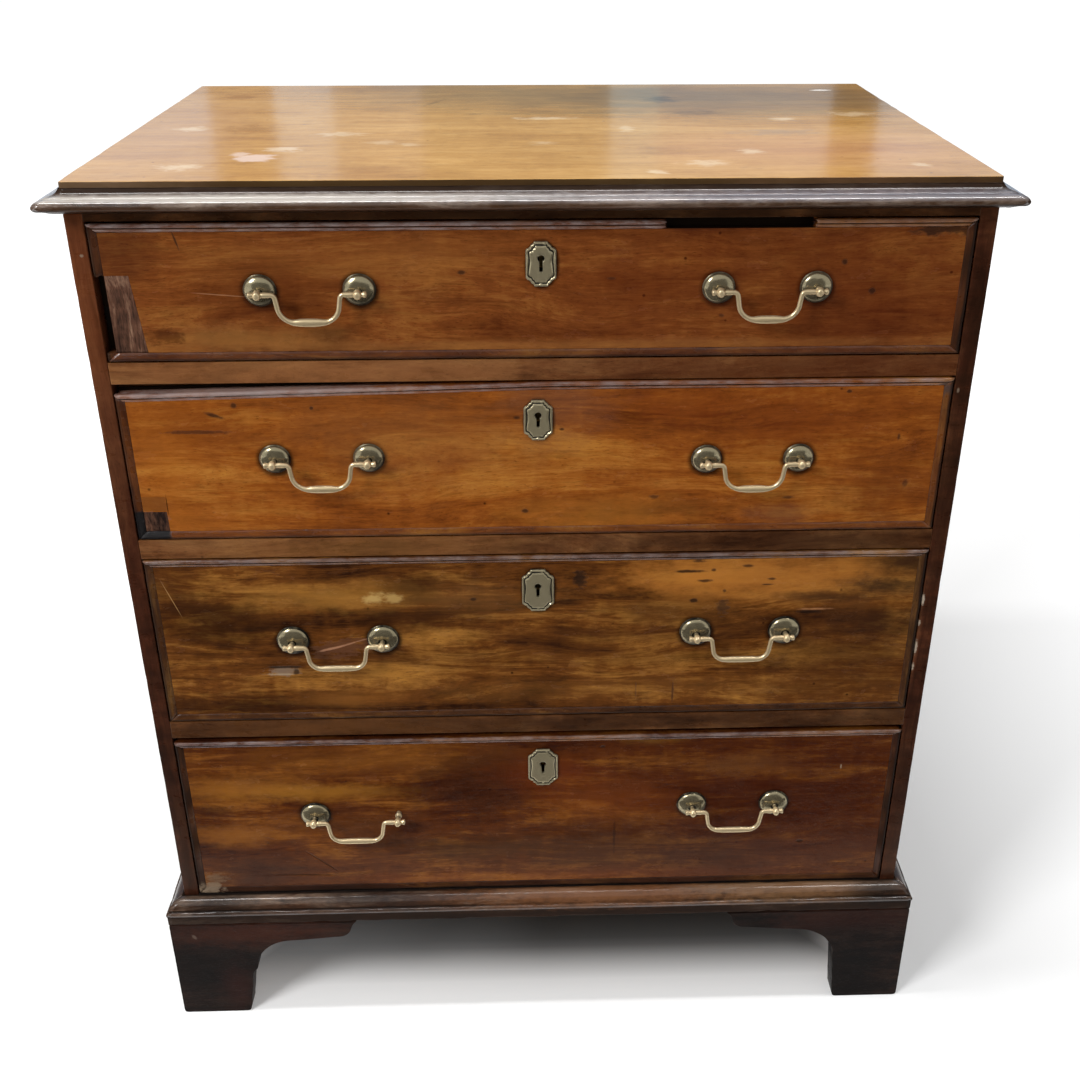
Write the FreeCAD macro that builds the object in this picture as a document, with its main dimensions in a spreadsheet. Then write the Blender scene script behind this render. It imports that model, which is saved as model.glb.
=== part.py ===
"""Bachelor's chest: four long graduated drawers on a base moulding with bracket feet.

Millimetres. +X is to the right of someone facing the drawers, the drawer fronts face -Y and +Z is up.
The origin is on the floor, under the middle of the chest.
"""
import FreeCAD
import Part

import math
import os

import Sketcher
from FreeCAD import Vector

doc = FreeCAD.newDocument("bachelors_chest")
sheet = doc.addObject("Spreadsheet::Sheet", "Sizes")
nodes = []


# ---------------------------------------------------------------- sizes

class Size:
    """A length kept two ways: as a number, and as the expression that works it out from the sheet."""

    def __init__(self, value, text):
        self.value = float(value)
        self.text = text

    def __add__(self, other):
        other = as_size(other)
        return Size(self.value + other.value, f"({self.text} + {other.text})")

    def __sub__(self, other):
        other = as_size(other)
        return Size(self.value - other.value, f"({self.text} - {other.text})")

    def __mul__(self, other):
        other = as_size(other)
        return Size(self.value * other.value, f"({self.text} * {other.text})")

    def __truediv__(self, other):
        other = as_size(other)
        return Size(self.value / other.value, f"({self.text} / {other.text})")

    def __radd__(self, other):
        return as_size(other) + self

    def __rsub__(self, other):
        return as_size(other) - self

    def __neg__(self):
        return Size(0, "0") - self


def as_size(length):
    """A plain number as a Size, and a Size as it is."""
    if isinstance(length, Size):
        return length
    return Size(length, repr(float(length)))


def driving(alias, value):
    """A driving dimension: one row of the sheet, with its name beside it."""
    row = len(sheet.getUsedCells()) // 2 + 1
    sheet.set(f"A{row}", alias)
    sheet.set(f"B{row}", str(value))
    sheet.setAlias(f"B{row}", alias)
    return Size(value, f"Sizes.{alias}")


CARCASE_WIDTH = driving("carcase_width", 730)
CARCASE_DEPTH = driving("carcase_depth", 455)
SIDE_THICK = driving("side_thick", 14.5)
BACK_THICK = driving("back_thick", 8)
BOTTOM_THICK = driving("bottom_thick", 19.5)
RAIL_THICK = driving("rail_thick", 19)
RAIL_DEPTH = driving("rail_depth", 70)
TOP_RAIL_THICK = driving("top_rail_thick", 8)
RUNNER_WIDTH = driving("runner_width", 32)
TOP_THICK = driving("top_thick", 24)
TOP_EDGE_WIDTH = driving("top_edge_width", 17)
OVERHANG_FRONT = driving("overhang_front", 21)
OVERHANG_SIDE = driving("overhang_side", 15.5)
OVERHANG_BACK = driving("overhang_back", 2)
BASE_HEIGHT = driving("base_height", 26.5)
BASE_PROUD = driving("base_proud", 16.3)
FOOT_HEIGHT = driving("foot_height", 125)
FOOT_REACH = driving("foot_reach", 192)
FOOT_THICK = driving("foot_thick", 20)
FOOT_PROUD = driving("foot_proud", 15.6)
FOOT_BLOCK = driving("foot_block", 38)
OPENING = {
    1: driving("opening_first", 117),
    2: driving("opening_second", 147),
    3: driving("opening_third", 178),
    4: driving("opening_fourth", 198.5),
}
DRAWER_GAP = driving("drawer_gap", 1.2)
RUNNER_GAP = driving("runner_gap", 0.4)
FACE_RECESS = driving("face_recess", 0.5)
FRONT_THICK = driving("front_thick", 20)
BEAD_WIDTH = driving("bead_width", 7.5)
BEAD_DEPTH = driving("bead_depth", 10)
BEAD_PROUD = driving("bead_proud", 3.2)
BOARD_THICK = driving("drawer_board_thick", 10)
PANEL_THICK = driving("drawer_panel_thick", 7)
PANEL_RISE = driving("drawer_panel_rise", 8)
SIDE_DROP = driving("drawer_side_drop", 8)
BACK_DROP = driving("drawer_back_drop", 14)
PANEL_GROOVE = driving("drawer_panel_groove", 4)
REAR_GAP = driving("drawer_rear_gap", 3)
SHRUNK_EDGE = driving("shrunk_edge", 5.5)
SHRUNK_FROM = driving("shrunk_from", 10)
LOCK_WIDTH = driving("lock_width", 62)
LOCK_HEIGHT = driving("lock_height", 50)
LOCK_DEPTH = driving("lock_depth", 9.5)
BOLT_WIDTH = driving("bolt_width", 18)
BOLT_THICK = driving("bolt_thick", 6)
BOLT_HEIGHT = driving("bolt_height", 26)
MORTISE_HEIGHT = driving("mortise_height", 6.5)
KEY_RADIUS = driving("key_radius", 2.7)
KEY_SLOT = driving("key_slot", 2.6)
EYE_OUT = driving("eye_out", 13)
EYE_RADIUS = driving("eye_radius", 4.6)
EYE_WIDTH = driving("eye_width", 6.4)
POST_RADIUS = driving("post_radius", 2.4)
WIRE_RADIUS = driving("wire_radius", 2)
WIRE_FIT = driving("wire_fit", 0.07)
STUB_OUT = driving("stub_out", 7.6)
ARM_IN = driving("arm_in", 13.5)
FOOT_OF_ARM_IN = driving("foot_of_arm_in", 17)
BAIL_DROP = driving("bail_drop", 23)

# The fourth drawer's front has been planed down, so it stands clear of the rail above.
GAP_ABOVE = {
    1: driving("gap_above_first", 1.2),
    2: driving("gap_above_second", 1.2),
    3: driving("gap_above_third", 1.2),
    4: driving("gap_above_fourth", 5),
}
# The upper two drawers and the lower two carry different sets of brass.
EYE_SPACING = {
    1: driving("eye_spacing_first", 79),
    2: driving("eye_spacing_second", 79.6),
    3: driving("eye_spacing_third", 82),
    4: driving("eye_spacing_fourth", 82),
}
ROSE_RADIUS = {
    1: driving("rose_radius_first", 13.3),
    2: driving("rose_radius_second", 13.3),
    3: driving("rose_radius_third", 14.8),
    4: driving("rose_radius_fourth", 14.8),
}
PLATE_WIDTH = {
    1: driving("plate_width_first", 24.5),
    2: driving("plate_width_second", 24.5),
    3: driving("plate_width_third", 29),
    4: driving("plate_width_fourth", 29),
}

# The handles and key plates were fitted by hand, so each has its own place.
PLATE_DROP = {
    1: driving("plate_drop_first", 36.4),
    2: driving("plate_drop_second", 36),
    3: driving("plate_drop_third", 38),
    4: driving("plate_drop_fourth", 43),
}
PLATE_ASIDE = {
    1: driving("plate_aside_first", 3.3),
    2: driving("plate_aside_second", 0),
    3: driving("plate_aside_third", -1.4),
    4: driving("plate_aside_fourth", 1.9),
}
HANDLE_ASIDE = {
    (1, "left"): driving("handle_aside_first_left", -181.3),
    (1, "right"): driving("handle_aside_first_right", 185.8),
    (2, "left"): driving("handle_aside_second_left", -184),
    (2, "right"): driving("handle_aside_second_right", 184.2),
    (3, "left"): driving("handle_aside_third_left", -184.8),
    (3, "right"): driving("handle_aside_third_right", 184.4),
    (4, "left"): driving("handle_aside_fourth_left", -182.1),
    (4, "right"): driving("handle_aside_fourth_right", 190.2),
}
HANDLE_RISE = {
    (1, "left"): driving("handle_rise_first_left", 60.6),
    (1, "right"): driving("handle_rise_first_right", 59.7),
    (2, "left"): driving("handle_rise_second_left", 77.5),
    (2, "right"): driving("handle_rise_second_right", 72.5),
    (3, "left"): driving("handle_rise_third_left", 90.2),
    (3, "right"): driving("handle_rise_third_right", 92.8),
    (4, "left"): driving("handle_rise_fourth_left", 101.1),
    (4, "right"): driving("handle_rise_fourth_right", 105.5),
}
# Drawer 4 has lost one rose: its post stands bare.
LOST_ROSE = (4, "left", +1)
# Where a drawer front's polished skin has broken away at its left end: corners as (across, up).
BARE_DEPTH = driving("bare_depth", 1.5)
BARE_PLACES = {
    1: [(-343, 740.7), (-316, 740.7), (-322.7, 805.5), (-343, 805.5)],
    2: [(-343, 573.5), (-321.2, 573.5), (-321.6, 594), (-343, 594)],
}

# ---------------------------------------------------------------- places worked out from the sizes

FRONT = (OVERHANG_FRONT - OVERHANG_BACK - CARCASE_DEPTH) / 2
REAR = FRONT + CARCASE_DEPTH
OUTSIDE = CARCASE_WIDTH / 2
INSIDE = OUTSIDE - SIDE_THICK
BASE_TOP = FOOT_HEIGHT + BASE_HEIGHT
FACE = FRONT + FACE_RECESS
FACE_BACK = FACE + FRONT_THICK
BEAD_BACK = FACE + BEAD_DEPTH
DRAWER_END = REAR - BACK_THICK - REAR_GAP
DRAWER_HALF = INSIDE - DRAWER_GAP
EYE_PLACE = FACE - EYE_OUT
DRAWERS = (1, 2, 3, 4)
SIDES = ("left", "right")

LOW = {}
HIGH = {}
level = BASE_TOP
for number in reversed(DRAWERS):
    LOW[number] = level
    HIGH[number] = level + OPENING[number]
    level = HIGH[number] + RAIL_THICK
CARCASE_TOP = HIGH[1] + TOP_RAIL_THICK
TOP = CARCASE_TOP + TOP_THICK


# ---------------------------------------------------------------- ways of making a piece

def bind(thing, path, length):
    """Let one property follow the sheet."""
    thing.setExpression(path, as_size(length).text)


def place(thing, corner):
    """Let a piece's position follow the sheet."""
    for letter, length in zip("xyz", corner):
        bind(thing, f"Placement.Base.{letter}", length)


def box(label, low, high):
    """A block between two corners."""
    block = doc.addObject("Part::Box", label)
    for path, near, far in zip(("Length", "Width", "Height"), low, high):
        bind(block, path, as_size(far) - near)
    place(block, low)
    return block


def along(label, axis, radius, start, length):
    """A cylinder that starts at a point and runs along +X or +Y."""
    rod = doc.addObject("Part::Cylinder", label)
    bind(rod, "Radius", radius)
    bind(rod, "Height", length)
    turn = {"x": (Vector(0, 1, 0), 90), "y": (Vector(1, 0, 0), -90)}[axis]
    rod.Placement = FreeCAD.Placement(Vector(), FreeCAD.Rotation(*turn))
    place(rod, start)
    return rod


def cut(label, base, tools):
    """A piece less some others."""
    result = doc.addObject("Part::Cut", label)
    result.Base = base
    result.Tool = tools[0] if len(tools) == 1 else group(f"{label}_tools", tools)
    return result


def fuse(label, pieces):
    """Several solids made into one."""
    result = doc.addObject("Part::MultiFuse", label)
    result.Shapes = pieces
    return result


def common(label, first, second):
    """The part that two solids share."""
    result = doc.addObject("Part::Common", label)
    result.Base = first
    result.Tool = second
    return result


def group(label, pieces):
    """Separate solids kept together."""
    result = doc.addObject("Part::Compound", label)
    result.Links = pieces
    return result


def mirrored(label, piece):
    """The same piece on the other side of the chest."""
    result = doc.addObject("Part::Mirroring", label)
    result.Source = piece
    result.Normal = Vector(1, 0, 0)
    return result


def new_body(label):
    """An empty body."""
    return doc.addObject("PartDesign::Body", label)


def sketch_on(body, role, offset=0):
    """A sketch on one of a body's own origin planes, moved along that plane's normal."""
    sketch = body.newObject("Sketcher::SketchObject", f"{body.Name}_sketch")
    plane = next(part for part in body.Origin.OriginFeatures if part.Role == role)
    sketch.AttachmentSupport = [(plane, "")]
    sketch.MapMode = "FlatFace"
    bind(sketch, "AttachmentOffset.Base.z", offset)
    return sketch


def arc_between(start, end, radius, turn):
    """The short arc between two points, anticlockwise: turn is +1 if it bends left on its way, or -1."""
    chord = end.sub(start)
    half = chord.Length / 2
    rise = radius - math.sqrt(radius ** 2 - half ** 2)
    middle = start + chord * 0.5 + Vector(chord.y, -chord.x, 0).normalize() * (rise * turn)
    return Part.Arc(start, middle, end) if turn > 0 else Part.Arc(end, middle, start)


def draw(sketch, steps, closed=True):
    """Lines and arcs through steps, each (x, y) or, where an arc leads there, (x, y, radius, turn)."""
    points = [Vector(as_size(step[0]).value, as_size(step[1]).value, 0) for step in steps]
    count = len(steps) if closed else len(steps) - 1
    ends = []
    for index in range(count):
        start = points[index]
        end = points[(index + 1) % len(steps)]
        target = steps[(index + 1) % len(steps)]
        if len(target) == 2:
            curve = sketch.addGeometry(Part.LineSegment(start, end), False)
            ends.append((curve, 1, 2))
            continue
        radius, turn = target[2:]
        curve = sketch.addGeometry(arc_between(start, end, as_size(radius).value, turn), False)
        ends.append((curve, 1, 2) if turn > 0 else (curve, 2, 1))
        fix(sketch, Sketcher.Constraint("Radius", curve, as_size(radius).value), radius)
    for index, (curve, start, _) in enumerate(ends):
        fix_point(sketch, curve, start, steps[index])
        before = ends[index - 1]
        if index or closed:
            sketch.addConstraint(Sketcher.Constraint("Coincident", before[0], before[2], curve, start))
    if not closed:
        fix_point(sketch, ends[-1][0], ends[-1][2], steps[-1])


def fix_point(sketch, curve, end, step):
    """Hold one end of a curve at its place from the sketch's origin."""
    for kind, length in zip(("DistanceX", "DistanceY"), step):
        fix(sketch, Sketcher.Constraint(kind, -1, 1, curve, end, as_size(length).value), length)


def fix(sketch, constraint, length):
    """Add a constraint and, where it follows the sheet, its expression."""
    index = sketch.addConstraint(constraint)
    if isinstance(length, Size):
        sketch.setExpression(f"Constraints[{index}]", length.text)


def pad(body, role, steps, low, high):
    """Extrude a closed outline on a plane from low to high along the axis that the plane faces."""
    low = as_size(low)
    high = as_size(high)
    # The XZ plane faces -Y, so its sketch lies at the far side and the pad comes forward.
    sketch = sketch_on(body, role, -high if role == "XZ_Plane" else low)
    draw(sketch, steps)
    feature = body.newObject("PartDesign::Pad", f"{body.Name}_pad")
    feature.Profile = sketch
    bind(feature, "Length", high - low)
    sketch.Visibility = False


def prism(label, role, steps, low, high):
    """A body of one extruded outline."""
    body = new_body(label)
    pad(body, role, steps, low, high)
    return body


def turned(label, axis, steps, centre):
    """A body turned about an axis along X or Y: steps are points (x, y) on one side of the axis."""
    body = new_body(label)
    sketch = sketch_on(body, "XY_Plane")
    draw(sketch, steps)
    feature = body.newObject("PartDesign::Revolution", f"{label}_turned")
    feature.Profile = sketch
    feature.ReferenceAxis = (sketch, [{"x": "H_Axis", "y": "V_Axis"}[axis]])
    feature.Angle = 360
    place(body, centre)
    return body


def finished(piece, label):
    """Name a piece of the chest, which is one node."""
    piece.Label = label
    nodes.append(piece)
    return piece


# ---------------------------------------------------------------- carcase

def carcase_boards():
    """The two sides, the bottom, the back boards and the top."""
    left = box("left_side", (-OUTSIDE, FRONT, FOOT_HEIGHT), (-INSIDE, REAR, CARCASE_TOP))
    finished(left, "left_side")
    right = box("right_side", (INSIDE, FRONT, FOOT_HEIGHT), (OUTSIDE, REAR, CARCASE_TOP))
    finished(right, "right_side")
    bottom = box("bottom_board", (-INSIDE, FRONT, BASE_TOP - BOTTOM_THICK), (INSIDE, REAR - BACK_THICK, BASE_TOP))
    finished(bottom, "bottom_board")
    board_count = 4
    shadow_gap = 0.6
    board_width = INSIDE * 2 / board_count
    boards = []
    for index in range(board_count):
        start = board_width * index - INSIDE
        low = (start, REAR - BACK_THICK, BASE_TOP - BOTTOM_THICK)
        high = (start + board_width - shadow_gap, REAR, CARCASE_TOP)
        boards.append(box(f"back_board_{index + 1}", low, high))
    finished(group("back_boards", boards), "back_boards")
    reach = OUTSIDE + OVERHANG_SIDE - TOP_EDGE_WIDTH
    low = (-reach, FRONT - OVERHANG_FRONT + TOP_EDGE_WIDTH, CARCASE_TOP)
    finished(box("top_board", low, (reach, REAR + OVERHANG_BACK, TOP)), "top_board")


def rails_and_runners():
    """A rail above each drawer, with the mortise its lock bolt shoots into, and the runners behind."""
    rails = []
    runners = []
    for drawer in DRAWERS:
        floor = HIGH[drawer]
        roof = floor + (TOP_RAIL_THICK if drawer == 1 else RAIL_THICK)
        rail = box(f"rail_{drawer}_blank", (-INSIDE, FRONT, floor), (INSIDE, FRONT + RAIL_DEPTH, roof))
        play = 1
        bolt = bolt_corners(drawer)
        low = (bolt[0][0] - play, bolt[0][1] - play, floor - play)
        high = (bolt[1][0] + play, bolt[1][1] + play, floor + MORTISE_HEIGHT)
        rails.append(cut(f"rail_{drawer}", rail, [box(f"mortise_{drawer}", low, high)]))
        for side, start in (("left", -INSIDE), ("right", INSIDE - RUNNER_WIDTH)):
            low = (start, FRONT + RAIL_DEPTH, floor)
            high = (start + RUNNER_WIDTH, REAR - BACK_THICK, roof)
            runners.append(box(f"runner_{drawer}_{side}", low, high))
    finished(group("front_rails", rails), "front_rails")
    finished(group("drawer_runners", runners), "drawer_runners")


def mitred_frame(label, section, reach, front, width):
    """Three strips with mitred corners, along the front and both sides.

    section gives the strip's outline as (distance in from the outermost edge, height), reach and front
    are where that edge lies, and width is how deep the strip is.
    """
    plan_low = FOOT_HEIGHT - 10
    plan_high = TOP + 10
    along_front = [(front + step[0],) + step[1:] for step in section]
    blank = prism(f"{label}_front_blank", "YZ_Plane", along_front, -reach, reach)
    plan = [(-reach, front), (reach, front), (reach - width, front + width), (width - reach, front + width)]
    mitre = prism(f"{label}_front_mitre", "XY_Plane", plan, plan_low, plan_high)
    front_strip = common(f"{label}_front", blank, mitre)
    end = REAR + OVERHANG_BACK if label == "top_edge_moulding" else REAR
    along_side = [(step[0] - reach,) + step[1:] for step in section]
    blank = prism(f"{label}_side_blank", "XZ_Plane", along_side, front, end)
    plan = [(-reach, front), (width - reach, front + width), (width - reach, end), (-reach, end)]
    mitre = prism(f"{label}_side_mitre", "XY_Plane", plan, plan_low, plan_high)
    left = common(f"{label}_left", blank, mitre)
    return group(label, [front_strip, left, mirrored(f"{label}_right", left)])


def top_edge_moulding():
    """Round the top: a small step, a hollow and a rounded nose, undercut below."""
    nose = 4.4
    section = [
        (TOP_EDGE_WIDTH, TOP - 4),
        (9.2, TOP - 10, 7.5, -1),
        (8.2, TOP - 10.2),
        (8, TOP - 11.6),
        (0, TOP - 16, 6.5, +1),
        (nose, TOP - 20.4, nose, +1),
        (6.5, TOP - 21),
        (12, TOP - 23.6),
        (TOP_EDGE_WIDTH, TOP - TOP_THICK),
    ]
    reach = OUTSIDE + OVERHANG_SIDE
    frame = mitred_frame("top_edge_moulding", section, reach, FRONT - OVERHANG_FRONT, TOP_EDGE_WIDTH)
    finished(frame, "top_edge_moulding")


def base_moulding():
    """Round the foot of the carcase: a long round shoulder, a groove, a fillet and a plain band."""
    section = [
        (BASE_PROUD, BASE_TOP),
        (BASE_PROUD - 2.4, BASE_TOP - 0.3),
        (BASE_PROUD - 13.4, BASE_TOP - 8.6, 11, +1),
        (BASE_PROUD - 13.4, BASE_TOP - 10.4),
        (0, BASE_TOP - 10.8),
        (0, BASE_TOP - 14.4),
        (BASE_PROUD - FOOT_PROUD, BASE_TOP - 15),
        (BASE_PROUD - FOOT_PROUD, FOOT_HEIGHT),
        (BASE_PROUD, FOOT_HEIGHT),
    ]
    reach = OUTSIDE + BASE_PROUD
    frame = mitred_frame("base_moulding", section, reach, FRONT - BASE_PROUD, BASE_PROUD)
    finished(frame, "base_moulding")


def bracket(edge, sign):
    """The shaped outline of a bracket foot: edge is its outer end and sign the way it reaches."""
    steps = [
        (0, 0),
        (70.5, 0),
        (78, 53),
        (84, 60, 7, -1),
        (84, 66),
        (124, 99.5, 38, -1),
        (172, 103.5),
        (184, 112, 13, +1),
        (FOOT_REACH, FOOT_HEIGHT, 14, -1),
        (0, FOOT_HEIGHT),
    ]
    outline = []
    for step in steps:
        shaped = (edge + as_size(step[0]) * sign, step[1])
        if len(step) == 4:
            shaped += (step[2], step[3] * sign)
        outline.append(shaped)
    return outline


def feet():
    """Bracket feet: two shaped boards mitred at each front corner, and a block behind them."""
    outer = OUTSIDE + FOOT_PROUD
    front = FRONT - FOOT_PROUD
    inner = outer - FOOT_THICK
    far = FOOT_REACH
    thick = FOOT_THICK
    blank = prism("foot_face_blank", "XZ_Plane", bracket(-outer, +1), front, front + thick)
    plan = [(-outer, front), (far - outer, front), (far - outer, front + thick), (-inner, front + thick)]
    face = common("foot_face", blank, prism("foot_face_mitre", "XY_Plane", plan, -1, FOOT_HEIGHT + 1))
    blank = prism("foot_flank_blank", "YZ_Plane", bracket(front, +1), -outer, -inner)
    plan = [(-outer, front), (-inner, front + thick), (-inner, front + far), (-outer, front + far)]
    flank = common("foot_flank", blank, prism("foot_flank_mitre", "XY_Plane", plan, -1, FOOT_HEIGHT + 1))
    clear_of_floor = 4
    low = (-inner, front + thick, clear_of_floor)
    block = box("foot_corner_block", low, (FOOT_BLOCK - inner, front + thick + FOOT_BLOCK, FOOT_HEIGHT))
    left = finished(group("front_left_foot", [face, flank, block]), "front_left_foot")
    finished(mirrored("front_right_foot", left), "front_right_foot")
    flank = prism("rear_foot_flank", "YZ_Plane", bracket(REAR, -1), -outer, -inner)
    rear_thick = 18
    steps = [(-inner, 0), (60 - inner, 0), (115 - inner, FOOT_HEIGHT), (-inner, FOOT_HEIGHT)]
    stay = prism("rear_foot_stay", "XZ_Plane", steps, REAR - rear_thick, REAR)
    low = (-inner, REAR - rear_thick - FOOT_BLOCK, clear_of_floor)
    block = box("rear_foot_block", low, (FOOT_BLOCK - inner, REAR - rear_thick, FOOT_HEIGHT))
    left = group("rear_left_foot", [flank, stay, block])
    finished(group("rear_feet", [left, mirrored("rear_right_foot", left)]), "rear_feet")


# ---------------------------------------------------------------- drawers

def front_outlines(drawer):
    """The outer outline of a drawer front and the one inside its beads, corner for corner.

    The second drawer's top edge has shrunk, so it falls away to the left.
    """
    low = LOW[drawer] + DRAWER_GAP
    high = HIGH[drawer] - GAP_ABOVE[drawer]
    fall = SHRUNK_EDGE if drawer == 2 else 0
    outer = [(-DRAWER_HALF, low), (DRAWER_HALF, low), (DRAWER_HALF, high)]
    half = DRAWER_HALF - BEAD_WIDTH
    inner = [(-half, low + BEAD_WIDTH), (half, low + BEAD_WIDTH), (half, high - BEAD_WIDTH)]
    if drawer == 2:
        outer.append((SHRUNK_FROM, high))
        inner.append((SHRUNK_FROM, high - BEAD_WIDTH))
    outer.append((-DRAWER_HALF, high - fall))
    inner.append((-half, high - fall - BEAD_WIDTH))
    return outer, inner


def cockbeads(drawer):
    """Strips let into the four edges of a drawer front, mitred at the corners and standing proud."""
    outer, inner = front_outlines(drawer)
    count = len(outer)
    strips = []
    for index in range(count):
        after = (index + 1) % count
        steps = [outer[index], outer[after], inner[after], inner[index]]
        strips.append(prism(f"bead_{drawer}_{index + 1}", "XZ_Plane", steps, FACE - BEAD_PROUD, BEAD_BACK))
    if drawer == 2:
        strips[2:4] = [fuse("bead_2_top", strips[2:4])]
    beads = group(f"beads_{drawer}", strips)
    if drawer == 1:
        beads = cut("beads_1_broken", beads, lost_beads())
    finished(beads, f"drawer_{drawer}_cockbeads")


def lost_beads():
    """Where the first drawer's beads have broken away, along its top and down its left edge."""
    margin = 2
    top = HIGH[1] - GAP_ABOVE[1] - BEAD_WIDTH
    near = FACE - BEAD_PROUD - margin
    far = BEAD_BACK + margin
    along_top = box("lost_top_bead", (101, near, top), (221, far, HIGH[1]))
    edge = BEAD_WIDTH - DRAWER_HALF
    low = (-INSIDE, near, LOW[1] + DRAWER_GAP + BEAD_WIDTH)
    down_left = box("lost_left_bead", low, (edge, far, LOW[1] + 74))
    return [along_top, down_left]


def dovetails(drawer, side_top):
    """Tails on the front end of a drawer's left side, which the drawer front is cut to take."""
    count = {1: 2, 2: 3, 3: 3, 4: 4}[drawer]
    root_half = 8
    tip_half = 11
    start = LOW[drawer] + DRAWER_GAP + BEAD_WIDTH
    pitch = (side_top - start) / count
    tails = []
    for index in range(count):
        middle = start + pitch * (index + 0.5)
        steps = [
            (FACE_BACK, middle - root_half),
            (FACE_BACK, middle + root_half),
            (BEAD_BACK, middle + tip_half),
            (BEAD_BACK, middle - tip_half),
        ]
        tail = prism(f"tail_{drawer}_{index + 1}", "YZ_Plane", steps, -DRAWER_HALF, BOARD_THICK - DRAWER_HALF)
        tails.append(tail)
    return tails


def drawer_boards(drawer):
    """A drawer's grooved bottom, dovetailed sides and back. Gives what the front is cut to fit."""
    name = f"drawer_{drawer}"
    half = DRAWER_HALF - BOARD_THICK
    panel = LOW[drawer] + PANEL_RISE
    low = (-half - PANEL_GROOVE, FACE_BACK - PANEL_GROOVE, panel)
    bottom = box(f"{name}_bottom", low, (half + PANEL_GROOVE, DRAWER_END, panel + PANEL_THICK))
    finished(bottom, f"{name}_bottom")
    low = (-half, DRAWER_END - BOARD_THICK, panel + PANEL_THICK)
    back = box(f"{name}_back", low, (half, DRAWER_END, HIGH[drawer] - BACK_DROP))
    finished(back, f"{name}_back")
    floor = LOW[drawer] + RUNNER_GAP
    side_top = HIGH[drawer] - SIDE_DROP
    low = (-DRAWER_HALF, FACE_BACK, floor)
    board = box(f"{name}_side_board", low, (BOARD_THICK - DRAWER_HALF, DRAWER_END, side_top))
    blank = fuse(f"{name}_side_blank", [board] + dovetails(drawer, side_top))
    left = cut(f"{name}_left_side", blank, [bottom])
    sides = group(f"{name}_sides", [left, mirrored(f"{name}_right_side", left)])
    finished(sides, f"{name}_sides")
    return [sides, bottom]


def bolt_corners(drawer):
    """The lock bolt's two corners when it is drawn back."""
    top = HIGH[drawer] - GAP_ABOVE[drawer] - 1
    middle = FACE_BACK - LOCK_DEPTH / 2
    low = (-BOLT_WIDTH / 2, middle - BOLT_THICK / 2, top - BOLT_HEIGHT)
    high = (BOLT_WIDTH / 2, middle + BOLT_THICK / 2, top)
    return low, high


def keyhole(label, drawer, near, far):
    """A round hole with a slot under it, cut straight through from near to far."""
    across = PLATE_ASIDE[drawer]
    middle = HIGH[drawer] - PLATE_DROP[drawer]
    centre = middle + 4.5
    slot_foot = middle - 6
    hole = along(f"{label}_round", "y", KEY_RADIUS, (across, near, centre), far - near)
    low = (across - KEY_SLOT / 2, near, slot_foot)
    slot = box(f"{label}_slot", low, (across + KEY_SLOT / 2, far, centre))
    return [hole, slot]


def lock(drawer):
    """A lock case let into the back of the drawer front, and the bolt that slides up out of it."""
    name = f"drawer_{drawer}"
    low, high = bolt_corners(drawer)
    top = high[2]
    half = LOCK_WIDTH / 2
    case_low = (-half, FACE_BACK - LOCK_DEPTH, top - LOCK_HEIGHT)
    case = box(f"{name}_lock_blank", case_low, (half, FACE_BACK, top))
    play = 0.3
    chamber = box(
        f"{name}_lock_chamber",
        (low[0] - play, low[1] - play, low[2] - play),
        (high[0] + play, high[1] + play, top + play),
    )
    tools = [chamber] + keyhole(f"{name}_lock_key", drawer, case_low[1] - 1, low[1])
    finished(cut(f"{name}_lock", case, tools), f"{name}_lock")
    finished(box(f"{name}_lock_bolt", low, high), f"{name}_lock_bolt")
    return box(f"{name}_lock_recess", case_low, (half, FACE_BACK + 1, HIGH[drawer]))


def eyes(drawer):
    """The places of a drawer's four handle posts: (side, sign, across, up)."""
    places = []
    for side in SIDES:
        for sign in (-1, +1):
            across = HANDLE_ASIDE[drawer, side] + EYE_SPACING[drawer] / 2 * sign
            places.append((side, sign, across, LOW[drawer] + HANDLE_RISE[drawer, side]))
    return places


def drawer_front(drawer, boards, recess):
    """The front board: rebated for its beads, and cut for its other boards, lock, keyhole and posts."""
    name = f"drawer_{drawer}"
    outer, inner = front_outlines(drawer)
    blank = new_body(f"{name}_front_blank")
    pad(blank, "XZ_Plane", inner, FACE, BEAD_BACK)
    pad(blank, "XZ_Plane", outer, BEAD_BACK, FACE_BACK)
    tools = boards + [recess] + keyhole(f"{name}_front_key", drawer, FACE - 1, FACE_BACK)
    for index, (_, _, across, up) in enumerate(eyes(drawer)):
        start = (across, FACE - 1, up)
        hole = along(f"{name}_post_hole_{index + 1}", "y", POST_RADIUS + 0.2, start, FRONT_THICK + 2)
        tools.append(hole)
    if drawer in BARE_PLACES:
        tools.append(prism(f"{name}_bare_place", "XZ_Plane", BARE_PLACES[drawer], FACE - 1, FACE + BARE_DEPTH))
    finished(cut(f"{name}_front", blank, tools), f"{name}_front")


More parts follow.
